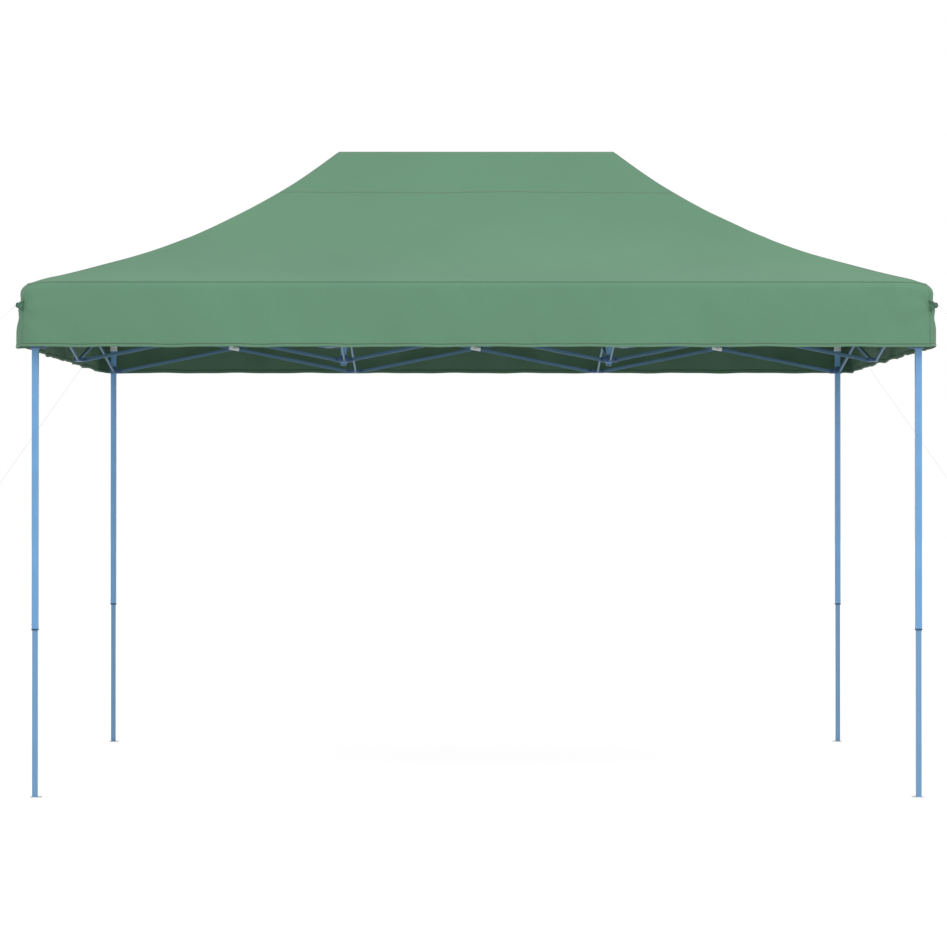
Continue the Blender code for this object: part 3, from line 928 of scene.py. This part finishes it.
def rope_route(node):
    """Points along a taut rope, with the slight sag that its own weight gives it."""
    out = -inward(node)
    corner = loop_corner(out)
    start = corner + out * ROPE_START_OUT
    peg = Vector((corner.x + out.x * PEG_OUT, corner.y + out.y * PEG_OUT, 0))
    share = FRONT_ROPE_SHARE if node[1] == 0 else BACK_ROPE_SHARE
    points = []
    for step in range(ROPE_POINTS):
        part = step / (ROPE_POINTS - 1)
        sag = ROPE_SAG * share * 4 * part * (1 - part)
        points.append(start.lerp(peg, share * part) - UP * sag)
    return points


def run_past(points, index, closed=False):
    """The way from the point before to the point after."""
    last = len(points) - 1
    before = points[index - 1] if closed or index else points[0]
    after = points[(index + 1) % (last + 1)] if closed or index < last else points[-1]
    return after - before


def tube_along(shape, points, radius, material, sides=10, closed=False):
    """A round tube along points."""
    rings = []
    normal = None
    turns = [2 * math.pi * step / sides for step in range(sides)]
    for index, point in enumerate(points):
        tangent = run_past(points, index, closed).normalized()
        if normal is None:
            normal = tangent.orthogonal().normalized()
        normal = (normal - tangent * normal.dot(tangent)).normalized()
        second = tangent.cross(normal)
        rings.append([point + (normal * math.cos(turn) + second * math.sin(turn)) * radius for turn in turns])
    shape.loft(rings, material, wrap=closed)


def knot_points(centre, along, size):
    """A short overhand knot: a trefoil round the rope's own line."""
    along = along.normalized()
    side = along.cross(UP).normalized()
    rise = side.cross(along)
    points = []
    for step in range(36):
        turn = 2 * math.pi * step / 36
        x = math.sin(turn) + 2 * math.sin(2 * turn)
        y = math.cos(turn) - 2 * math.cos(2 * turn)
        z = -math.sin(3 * turn)
        points.append(centre + (side * x * 0.33 + rise * y * 0.33 + along * z * 0.6) * size)
    return points


def make_ropes():
    for node in corner_nodes():
        name = f"guy_rope_{place_name(node)}"
        body = f"outer_leg_{place_name(node)}"
        points = rope_route(node)
        curve = bpy.data.curves.new(name + "_cord", "CURVE")
        curve.dimensions = "3D"
        curve.bevel_depth = ROPE_RADIUS
        curve.bevel_resolution = 3
        curve.use_fill_caps = True
        spline = curve.splines.new("POLY")
        spline.points.add(len(points) - 1)
        for place, point in zip(spline.points, points):
            place.co = (*(point - points[0]), 1)
        curve.materials.append(MATERIALS["cord"])
        cord = place_piece(name + "_cord", curve, body, points[0], replaces=name)
        shape = Shape("cord")
        along = points[-1] - points[-2]
        ahead = along.normalized()
        far_knot = knot_points(points[-1] - ahead * 0.004, along, 0.0042)
        tube_along(shape, far_knot, ROPE_RADIUS, "cord", closed=True)
        near_knot = knot_points(points[0] + ahead * 0.006, along, 0.0036)
        tube_along(shape, near_knot, ROPE_RADIUS * 0.9, "cord", closed=True)
        knot = place_piece(name + "_knots", shape.build(name + "_knots", 80), body)


# ---------------------------------------------------------------- canopy
def slope_shares(x, y):
    """How far a place lies from the ridge towards the short side's eave, and towards the long side's."""
    return np.maximum(0, (np.abs(x) - RIDGE_HALF) / (HALF_X - RIDGE_HALF)), np.abs(y) / HALF_Y


def roof_height(x, y):
    """Height of the cloth over a place in the plan, and its level, 0 on the ridge and 1 at the eave."""
    along, across = slope_shares(x, y)
    gap = np.sqrt((along - across) ** 2 + HIP_SOFT**2) - HIP_SOFT
    level = np.clip((along + across + gap) / 2, 0, 1)
    level = np.where(level > SHARP_LEVEL, np.maximum(along, across), level)
    drop = level + level * (1 - level) * (HOLLOW - HOLLOW_EASE * level)
    return RIDGE_Z - (RIDGE_Z - EAVE_Z - ROOF_EDGE_RISE) * drop, level


def roll_inset(x, y, depth):
    """How far in the cloth lies where it rolls over the edge. Depth runs from the seam."""
    radius = EDGE_ROLL + CORNER_ROLL * corner_nearness(x, y, CORNER_REACH)
    left = np.maximum(0, radius - SEAM_IN_ROLL - depth)
    return radius - np.sqrt(radius**2 - left**2)


def corner_drop(x, y):
    """How far a rounded corner lies under the eave's level."""
    return CORNER_DROP * corner_nearness(x, y, DROP_REACH)


def hem_share(depth):
    """0 at the eave and 1 at the hem."""
    return min(max(depth / VALANCE, 0.0), 1.0)


def plan_radius(depth):
    """Radius of the plan's corners, which open out towards the hem."""
    return CORNER_ROUND + CORNER_SPREAD * hem_share(depth)


def round_corner(x, y, radius):
    """Pulls the plan's corners in to a radius. Returns the new places and the way out of the cloth there."""
    a = np.maximum(0, np.abs(x) - (HALF_X - radius))
    b = np.maximum(0, np.abs(y) - (HALF_Y - radius))
    longest = np.maximum(a, b)
    reach = np.maximum(np.hypot(a, b), 1e-9)
    shrink = longest / reach
    new_x = np.sign(x) * (np.minimum(np.abs(x), HALF_X - radius) + a * shrink)
    new_y = np.sign(y) * (np.minimum(np.abs(y), HALF_Y - radius) + b * shrink)
    out = np.stack([np.sign(x) * a / reach, np.sign(y) * b / reach, 0 * a], -1)
    return new_x, new_y, out


def corner_distance(x, y):
    return np.hypot(HALF_X - np.abs(x), HALF_Y - np.abs(y))


def corner_nearness(x, y, reach):
    """1 at a corner of the plan, falling to 0 at reach from it."""
    part = np.clip(1 - corner_distance(x, y) / reach, 0, 1)
    return part * part * (3 - 2 * part)


def grid_lines(half):
    lines = list(np.linspace(-half, half, round(2 * half / GRID_STEP) + 1))
    for inset in GRID_EDGE:
        lines += [half - inset, inset - half]
    return np.array(sorted(set(np.round(lines, 6))))


def roof_folds(x, y, level):
    """Small rises and hollows of the roof: long soft folds up the slopes, strongest near the hips."""
    along, across = slope_shares(x, y)
    side = np.where(along > across, y, x)
    fade = np.clip(level / 0.2, 0, 1) * np.clip((1 - level) / 0.10, 0, 1)
    hip = np.exp(-(((along - across) / 0.10) ** 2))
    soft = 0.0022 * np.sin(side * 5.1 + 0.7) + 0.0014 * np.sin(side * 11.3 + level * 2.1)
    folds = 0.0016 * np.sin((along - across) * 60 + level * 5) * hip
    ripple = 0.0008 * np.sin(side * 23 + level * 9 + 1.1)
    return fade * (soft + folds + ripple) - 0.004 * np.sin(np.pi * np.clip(level, 0, 1)) * (1 - hip)


def loop_folds(x, y, depth):
    """Folds of the valance that fan out from a corner's loop, where the rope pulls on it."""
    aside = corner_distance(x, y)
    below = depth - (EAVE_Z - ROPE_START_Z)
    distance = np.hypot(aside, below)
    turn = np.arctan2(below, aside + 0.04)
    start = np.clip(aside / 0.05, 0, 1)
    return FAN_HEIGHT * start * np.sin(FAN_FOLDS * turn + 0.9) * np.exp(-((distance / FAN_REACH) ** 2))


def valance_loop(x, y, way, depth):
    """Places on the valance, depth below the eave's seam. way is the distance round the plan."""
    low = hem_share(depth)
    new_x, new_y, out = round_corner(x, y, plan_radius(depth))
    around = 2 * np.pi * way / (4 * (HALF_X + HALF_Y))
    wave = sum(size * np.sin(count * around + phase) for count, size, phase in WAVES)
    pull = loop_folds(x, y, depth) * math.sin(math.pi * low) ** 0.5
    for count, size, phase, turns in DRAPES:
        pull = pull + size * math.sin(math.pi * turns * low) * np.sin(count * around + phase)
    flare = (FLARE + CORNER_FLARE * corner_nearness(x, y, FLARE_REACH)) * low**1.5
    belly = BELLY * math.sin(math.pi * low)
    reach = flare + belly + wave * low**1.2 + pull - roll_inset(x, y, depth)
    edge_wave = sum(size * np.sin(way * turns + phase) for turns, size, phase in HEM_WAVES)
    edge_wave = edge_wave * np.where(np.abs(out[:, 0]) > 0.7, *HEM_WAVE_SHARES)
    z = EAVE_Z - depth - corner_drop(x, y) * (1 - low) ** 1.5 + edge_wave * low**3
    return np.stack([new_x + out[:, 0] * reach, new_y + out[:, 1] * reach, z], -1), out


def eave_order(count_x, count_y):
    """Indices of the roof grid's edge, in order round the plan."""
    order = [(i, 0) for i in range(count_x - 1)]
    order += [(count_x - 1, j) for j in range(count_y - 1)]
    order += [(i, count_y - 1) for i in range(count_x - 1, 0, -1)]
    order += [(0, j) for j in range(count_y - 1, 0, -1)]
    return order


class Cloth:
    """The canopy's outer face as arrays: the roof's grid, then the rows of the valance."""

    ROLL_TURNS = (30, 42, 54, 66, 78, 90)
    ROWS_BELOW = 16
    HEM_ROWS = (0.270, 0.282, 0.290, 0.296)

    def __init__(self):
        lines_x, lines_y = grid_lines(HALF_X), grid_lines(HALF_Y)
        self.count = (len(lines_x), len(lines_y))
        x, y = np.meshgrid(lines_x, lines_y, indexing="ij")
        z, level = roof_height(x, y)
        z = z + roof_folds(x, y, level) - corner_drop(x, y)
        shrink = roll_inset(x, y, -ROOF_EDGE_RISE) * level**3
        new_x, new_y, _ = round_corner(x, y, CORNER_ROUND)
        roof = np.stack([new_x * (1 - shrink / HALF_X), new_y * (1 - shrink / HALF_Y), z], -1)
        rows, cols = np.array(eave_order(*self.count)).T
        self.edge_x, self.edge_y = x[rows, cols], y[rows, cols]
        steps = [np.diff(edge, append=edge[0]) for edge in (self.edge_x, self.edge_y)]
        self.way = np.concatenate([[0], np.cumsum(np.hypot(*steps))[:-1]])
        self.edge_index = rows * self.count[1] + cols
        roof[rows, cols] = self.at_depth(-ROOF_EDGE_RISE)[0]
        depths = self.row_depths()
        loops = [self.at_depth(depth) for depth in depths]
        self.loops = len(loops)
        self.points = np.concatenate([roof.reshape(-1, 3), *[places for places, _ in loops]])
        uv = [np.stack([x, y], -1).reshape(-1, 2)]
        for depth, (_, out) in zip(depths, loops):
            uv.append(np.stack([self.edge_x + out[:, 0] * depth, self.edge_y + out[:, 1] * depth], -1))
        self.uv = np.concatenate(uv)
        self.faces = self.make_faces()

    def row_depths(self):
        """Rows close together round the rolled edge, then evenly down to the hem's."""
        roll = [EDGE_ROLL * (1 - math.cos(math.radians(turn))) - SEAM_IN_ROLL for turn in self.ROLL_TURNS]
        below = np.linspace(roll[-1], self.HEM_ROWS[0], self.ROWS_BELOW)[1:-1]
        return [*roll, *below, *self.HEM_ROWS]

    def at_depth(self, depth):
        return valance_loop(self.edge_x, self.edge_y, self.way, depth)

    def make_faces(self):
        """Triangles. The roof's diagonals run the way of the hips."""
        count_x, count_y = self.count
        i, j = np.meshgrid(np.arange(count_x - 1), np.arange(count_y - 1), indexing="ij")
        corner = (i * count_y + j).ravel()
        quads = np.stack([corner, corner + count_y, corner + count_y + 1, corner + 1], -1)
        rising = ((i < count_x // 2) == (j < count_y // 2)).ravel()
        quads[~rising] = np.roll(quads[~rising], 1, axis=1)
        faces = [quads]
        upper = self.edge_index
        start = count_x * count_y
        size = len(upper)
        for _ in range(self.loops):
            lower = np.arange(start, start + size)
            faces.append(np.stack([upper, lower, np.roll(lower, -1), np.roll(upper, -1)], -1))
            upper = lower
            start += size
        quads = np.concatenate(faces)
        return np.concatenate([quads[:, (0, 1, 2)], quads[:, (0, 2, 3)]])

    def surface(self):
        """A search tree of the outer face."""
        return BVHTree.FromPolygons(self.points.tolist(), self.faces.tolist())


def mesh_of(name, points, faces, uv=None):
    mesh = bpy.data.meshes.new(name)
    mesh.from_pydata([tuple(p) for p in points], [], [tuple(int(v) for v in f) for f in faces])
    if uv is not None:
        layer = mesh.uv_layers.new(name="UVMap")
        index = np.zeros(len(mesh.loops), np.int32)
        mesh.loops.foreach_get("vertex_index", index)
        layer.data.foreach_set("uv", np.asarray(uv, np.float32)[index].ravel())
    mesh.update()
    return mesh


def shell_mesh(cloth):
    """The cloth as one closed solid, its inner face in a darker green that paints the shade inside the
    canopy.
    """
    outer = mesh_of("outer", cloth.points, cloth.faces)
    normals = np.zeros(len(cloth.points) * 3, np.float32)
    outer.vertex_normals.foreach_get("vector", normals)
    normals = normals.reshape(-1, 3)
    bpy.data.meshes.remove(outer)
    count = len(cloth.points)
    size = len(cloth.edge_index)
    last = np.arange(count - size, count)
    inside = cloth.faces[:, ::-1] + count
    after = np.roll(last, -1)
    rim = [np.stack([last, last + count, after + count], -1), np.stack([last, after + count, after], -1)]
    points = np.concatenate([cloth.points, cloth.points - normals * CLOTH])
    faces = np.concatenate([cloth.faces, inside, *rim])
    mesh = mesh_of("canopy_cloth", points, faces, np.concatenate([cloth.uv, cloth.uv]))
    # The inner faces take the second slot, the darker green of painted shade.
    slots = np.zeros(len(faces), np.int32)
    slots[len(cloth.faces) : len(cloth.faces) + len(inside)] = 1
    mesh.polygons.foreach_set("material_index", slots)
    mesh.shade_smooth()
    return mesh


ROOF_SEAM_LEVEL = 0.21
SEAM_WIDTH = 0.012
SEAM_HEIGHT = 0.0009
EAVE_SEAM_WIDTH = 0.007
EAVE_SEAM_HEIGHT = 0.0010
# A seam's section: place across it and height, as shares of half its width and of its height
SEAM_PROFILE = (
    (-1.0, -0.10), (-0.93, 0.65), (-0.55, 1.0), (0.0, 0.85),
    (0.55, 1.0), (0.93, 0.65), (1.0, -0.10), (0.0, -0.15),
)


def seam_run(surface, path, width, height, closed):
    """A folded seam that lies on the cloth along path, as a run for ribbon_mesh."""
    rings, lengths, total = [], [], 0.0
    for index, point in enumerate(path):
        if index:
            total += (point - path[index - 1]).length
        lengths.append(total)
        centre, normal, _, _ = surface.find_nearest(point)
        side = normal.cross(run_past(path, index, closed)).normalized()
        ring = []
        for across, rise in SEAM_PROFILE:
            place, up, _, _ = surface.find_nearest(centre + side * across * width / 2)
            ring.append(place + up * rise * height)
        rings.append(ring)
    return rings, lengths, [across * width / 2 for across, _ in SEAM_PROFILE], closed


def ribbon_mesh(name, runs, *materials, inner_from=None):
    """One mesh of several runs. Each run is (rings, lengths, offsets across, closed).

    The sides of a section from number inner_from on take the second material.
    """
    points, faces, uv = [], [], []
    for rings, lengths, offsets, closed in runs:
        start = len(points)
        size = len(rings[0])
        for ring, length in zip(rings, lengths):
            points += [tuple(p) for p in ring]
            uv += [(length, offset) for offset in offsets]
        pairs = [(step, step + 1) for step in range(len(rings) - 1)]
        if closed:
            pairs.append((len(rings) - 1, 0))
        for low, high in pairs:
            for step in range(size):
                after = (step + 1) % size
                quad = (start + low * size + step, start + low * size + after)
                quad += (start + high * size + after, start + high * size + step)
                faces.append(quad)
        if not closed:
            faces.append(tuple(start + step for step in range(size))[::-1])
            faces.append(tuple(start + (len(rings) - 1) * size + step for step in range(size)))
    mesh = bpy.data.meshes.new(name)
    mesh.from_pydata(points, [], faces)
    if inner_from is not None:
        slots = [int(index % size >= inner_from) for index in range(len(faces))]
        mesh.polygons.foreach_set("material_index", slots)
    layer = mesh.uv_layers.new(name="UVMap")
    for loop in mesh.loops:
        layer.data[loop.index].uv = uv[loop.vertex_index]
    shape = bmesh.new()
    shape.from_mesh(mesh)
    bmesh.ops.recalc_face_normals(shape, faces=shape.faces)
    shape.to_mesh(mesh)
    shape.free()
    for material in materials:
        mesh.materials.append(MATERIALS[material])
    mesh.shade_smooth()
    mesh.set_sharp_from_angle(angle=math.radians(70))
    return mesh


def stepped(points, step=0.012):
    """Evenly spaced points along straight stretches."""
    found = []
    for start, end in zip(points, points[1:]):
        count = max(1, round((end - start).length / step))
        found += [start.lerp(end, part / count) for part in range(count)]
    return found + [points[-1]]


def on_roof(x, y):
    z, _ = roof_height(np.array(x), np.array(y))
    return Vector((x, y, float(z)))


def level_ring(level):
    """A ring round the roof at one level, 0 on the ridge and 1 at the eave."""
    half_x = RIDGE_HALF + (HALF_X - RIDGE_HALF) * level
    half_y = HALF_Y * level
    flat = [Vector((x * half_x, y * half_y, 0)) for x, y in ((-1, -1), (1, -1), (1, 1), (-1, 1), (-1, -1))]
    return [on_roof(p.x, p.y + 0.0016 * math.sin(p.x * 7)) for p in stepped(flat)[:-1]]


def hip_path(x, y):
    flat = stepped([Vector((x * RIDGE_HALF, 0, 0)), Vector((x * HALF_X, y * HALF_Y, 0))])
    return [on_roof(p.x, p.y) for p in flat[:-4]]


def make_canopy():
    cloth = Cloth()
    surface = cloth.surface()
    mesh = shell_mesh(cloth)
    mesh.materials.append(MATERIALS["fabric"])
    # The second slot is the darker inner face, painted shade of the canopy's inside.
    mesh.materials.append(MATERIALS["painted_inside_shade"])
    canopy = add_object("canopy_cloth", mesh)
    seams = add_object("canopy_seams", ribbon_mesh("canopy_seams", seam_runs(surface), "seam"))
    # The eave's seam strip is a dark ribbon of painted shadow along the fold.
    eave = [Vector(p) for p in cloth.at_depth(0.0)[0]]
    run = seam_run(surface, eave, EAVE_SEAM_WIDTH, EAVE_SEAM_HEIGHT, True)
    painted_crease_shade = add_object("canopy_eave_seam_painted_shadow", ribbon_mesh("canopy_eave_seam_painted_shadow", [run], "painted_crease_shade"))
    hem = add_object("canopy_hem", hem_mesh(cloth))
    for piece in (canopy, seams, painted_crease_shade, hem):
        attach(piece, "canopy_and_hub")
    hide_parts("canopy")
    return [canopy, seams, painted_crease_shade, hem]


def seam_runs(surface):
    """The seam round the top of the roof, the four hip seams and the four corner seams of the valance."""
    corners = [(x, y) for x in (-1, 1) for y in (-1, 1)]
    paths = [(level_ring(ROOF_SEAM_LEVEL), True)]
    paths += [(hip_path(x, y), False) for x, y in corners]
    paths += [(corner_seam(x, y), False) for x, y in corners]
    return [seam_run(surface, path, SEAM_WIDTH, SEAM_HEIGHT, closed) for path, closed in paths]


def corner_seam(side_x, side_y):
    """A corner seam of the valance, which drifts on to the long side towards the hem."""
    path = []
    for depth in np.arange(0.012, VALANCE - 0.010, 0.010):
        x = side_x * (HALF_X - 0.016 * depth / VALANCE)
        way = HALF_X + x if side_y < 0 else 3 * HALF_X + 2 * HALF_Y - x
        places, _ = valance_loop(np.array([x]), np.array([side_y * HALF_Y]), np.array([way]), depth)
        path.append(Vector(places[0]))
    return path


# The hem's section: depth under the valance's edge, and how far it stands out of the cloth
HEM_PROFILE = (
    (-0.0180, 0.0002), (-0.0172, 0.0010), (-0.0150, 0.0010), (-0.0140, 0.0004), (-0.0116, 0.0004),
    (-0.0106, 0.0020), (-0.0050, 0.0026), (0.0010, 0.0016), (0.0022, -0.0005), (0.0010, -0.0024),
    (-0.0050, -0.0032), (-0.0150, -0.0024), (-0.0180, -0.0012),
)
# From this step of the section on, the hem's inner faces take the darker painted shade of the inside.
HEM_PAINTED_SHADE_FROM = 8


def hem_mesh(cloth):
    """The folded and stitched lower edge of the valance."""
    rings = []
    levels = [cloth.at_depth(VALANCE + depth) for depth, _ in HEM_PROFILE]
    for index in range(len(cloth.way)):
        ring = []
        for (places, out), (_, rise) in zip(levels, HEM_PROFILE):
            ring.append(Vector(places[index]) + Vector(out[index]) * rise)
        rings.append(ring)
    offsets = [-depth if rise > -0.001 else -depth + 0.1 for depth, rise in HEM_PROFILE]
    run = (rings, list(cloth.way), offsets, True)
    return ribbon_mesh("canopy_hem", [run], "hem", "painted_inside_shade", inner_from=HEM_PAINTED_SHADE_FROM)


# ---------------------------------------------------------------- the canopy's fold
def tent(values, before, peak, after):
    """0 up to before, 1 at peak, 0 from after. None keeps 1 on that side."""
    rise = np.ones_like(values) if before is None else np.clip((values - before) / (peak - before), 0, 1)
    fall = np.ones_like(values) if after is None else np.clip((after - values) / (after - peak), 0, 1)
    return np.minimum(rise, fall)


def bay_middle(values, lines):
    """0 on each line and over its hub, and 1 half way between two lines."""
    found = np.zeros_like(values)
    for low, high in zip(lines, lines[1:]):
        part = np.clip((values - low) / (high - low), 0, 1)
        swell = np.clip((np.sin(np.pi * part) - HUB_SHARE) / (1 - HUB_SHARE), 0, 1)
        found = np.maximum(found, swell * swell * (3 - 2 * swell))
    return found


def follower(name, body, axis):
    """An empty that takes one axis of a body's travel."""
    empty = add_object(name, None)
    follow = empty.constraints.new("COPY_LOCATION")
    follow.target = frame["bodies"][body]
    follow.use_x, follow.use_y, follow.use_z = (axis == letter for letter in "xyz")
    return empty


def make_followers():
    return {
        "left": follower("follow_left", "outer_leg_front_left", "x"),
        "mid_right": follower("follow_mid_right", "peak_pole_mid_right", "x"),
        "right": follower("follow_right", "outer_leg_front_right", "x"),
        "front": follower("follow_front", "outer_leg_front_left", "y"),
        "back": follower("follow_back", "outer_leg_back_left", "y"),
        "pole": follower("follow_pole", "peak_pole_mid_left", "z"),
    }


def follow_frame(piece):
    """As the frame folds, the cloth gathers over the hubs, pleats between them and sinks with the poles."""
    points = np.array([vertex.co for vertex in piece.data.vertices], float)
    x, y, z = points.T
    rows = (-ROW_STEP, 0.0, ROW_STEP)
    pleat = PLEAT_X * bay_middle(x, COLUMNS) + PLEAT_Y * bay_middle(y, rows)
    weights = {
        ("left", "left"): tent(x, None, COLUMNS[0], COLUMNS[1]),
        ("mid_right", "mid_right"): tent(x, COLUMNS[1], COLUMNS[2], COLUMNS[3]),
        ("right", "right"): tent(x, COLUMNS[2], COLUMNS[3], None),
        ("front", "front"): tent(y, None, rows[0], rows[1]),
        ("back", "back"): tent(y, rows[1], rows[2], None),
        ("pole", "pleat"): np.clip(pleat, 0, 1) * PLEAT_DROP,
        ("pole", "roof"): np.clip((z - EAVE_Z - POLE_HOLD) / POLE_HOLD_RISE, 0, 1),
    }
    for (target, group_name), values in weights.items():
        group = piece.vertex_groups.new(name=group_name)
        levels = np.round(values, 3)
        for level in np.unique(levels[levels > 0]):
            group.add(np.nonzero(levels == level)[0].tolist(), float(level), "REPLACE")
        hook = piece.modifiers.new(group_name, "HOOK")
        hook.object = FOLLOWERS[target]
        hook.vertex_group = group_name
        hook.falloff_type = "NONE"


# ---------------------------------------------------------------- corner loops
def make_corner_loops():
    """A folded webbing loop with a dark ring, sewn to each corner of the valance."""
    for node in corner_nodes():
        out = -inward(node)
        ahead = out.normalized()
        side = ahead.cross(UP)
        corner = loop_corner(out)
        seat = corner - ahead * (plan_radius(EAVE_Z - ROPE_START_Z) * (math.sqrt(2) - 1) + 0.004)
        tip = corner + ahead * 0.006
        shape = Shape("webbing", "navy")
        route = [seat + UP * 0.030, seat + UP * 0.024 + ahead * 0.012, tip + UP * 0.008, tip + ahead * 0.005]
        route += [tip - UP * 0.008, seat - UP * 0.022 + ahead * 0.014, seat - UP * 0.040 + ahead * 0.006]
        smooth = smooth_path(route, 5)
        rings = []
        for index, point in enumerate(smooth):
            up = run_past(smooth, index).normalized().cross(side).normalized() * WEBBING_HALF
            half = side * (0.0125 - 0.0045 * math.sin(math.pi * index / (len(smooth) - 1)))
            rings.append([point + half + up, point + half - up, point - half - up, point - half + up])
        shape.loft(rings, "webbing")
        rings = []
        for aside in (-0.0022, 0.0022):
            rings.append([tip + ahead * along + UP * z + side * aside for along, z in TAB_OUTLINE])
        shape.loft(rings, "webbing")
        centre = tip + ahead * 0.003
        turns = [2 * math.pi * step / 28 for step in range(28)]
        loop = [centre + (ahead * 0.0085 * math.cos(t) + UP * 0.0105 * math.sin(t)) for t in turns]
        tube_along(shape, loop, 0.0021, "navy", closed=True)
        name = f"corner_loop_{place_name(node)}"
        place_piece(name, shape.build(name, 60), f"outer_leg_{place_name(node)}")


def smooth_path(points, between):
    """A smooth line through points."""
    found = []
    for index in range(len(points) - 1):
        p0 = points[max(0, index - 1)]
        p1, p2 = points[index], points[index + 1]
        p3 = points[min(len(points) - 1, index + 2)]
        for step in range(between):
            t = step / between
            a = 2 * p1 + (p2 - p0) * t
            b = (2 * p0 - 5 * p1 + 4 * p2 - p3) * t**2
            c = (3 * p1 - p0 - 3 * p2 + p3) * t**3
            found.append((a + b + c) / 2)
    return found + [points[-1]]


# ---------------------------------------------------------------- studio
FLOOR_HALF = 60


def make_stage():
    corners = [(x * FLOOR_HALF, y * FLOOR_HALF, 0) for x, y in ((-1, -1), (1, -1), (1, 1), (-1, 1))]
    mesh = mesh_of("studio_floor", corners, [(0, 1, 2, 3)])
    mesh.materials.append(floor_material())
    add_object("studio_floor", mesh)


def area_light(name, place, aim, size, power):
    data = bpy.data.lights.new(name, "AREA")
    data.shape = "RECTANGLE"
    data.size, data.size_y = size
    data.energy = power
    turn = (Vector(aim) - Vector(place)).to_track_quat("-Z", "Y").to_euler()
    add_object(name, data, place, turn)


def make_light():
    """A white studio whose ceiling is brighter than its walls, with one soft key light."""
    world = bpy.data.worlds.new("studio")
    world.use_nodes = True
    tree = world.node_tree
    split = tree.nodes.new("ShaderNodeSeparateXYZ")
    rise = tree.nodes.new("ShaderNodeMapRange")
    background = tree.nodes["Background"]
    tree.links.new(tree.nodes.new("ShaderNodeTexCoord").outputs["Generated"], split.inputs[0])
    tree.links.new(split.outputs["Z"], rise.inputs["Value"])
    tree.links.new(rise.outputs["Result"], background.inputs["Strength"])
    for socket, value in zip(("From Min", "From Max", "To Min", "To Max"), (0.35, 0.85, 1.0, 1.15)):
        rise.inputs[socket].default_value = value
    background.inputs["Color"].default_value = (1, 1, 1, 1)
    bpy.context.scene.world = world
    bpy.context.scene.view_settings.view_transform = "Standard"
    area_light("key", place=(2.6, -8.0, 9.0), aim=(0, 0, 1.8), size=(4, 4), power=400)


make_camera()
MATERIALS = make_materials()
make_ropes()
make_corner_loops()
make_bars()
make_upper_hubs()
make_peak_poles()
make_outer_legs()
make_sliders()
make_inner_legs()
make_loose_joints()
FOLLOWERS = make_followers()
for soft_piece in make_canopy():
    follow_frame(soft_piece)
make_stage()
make_light()
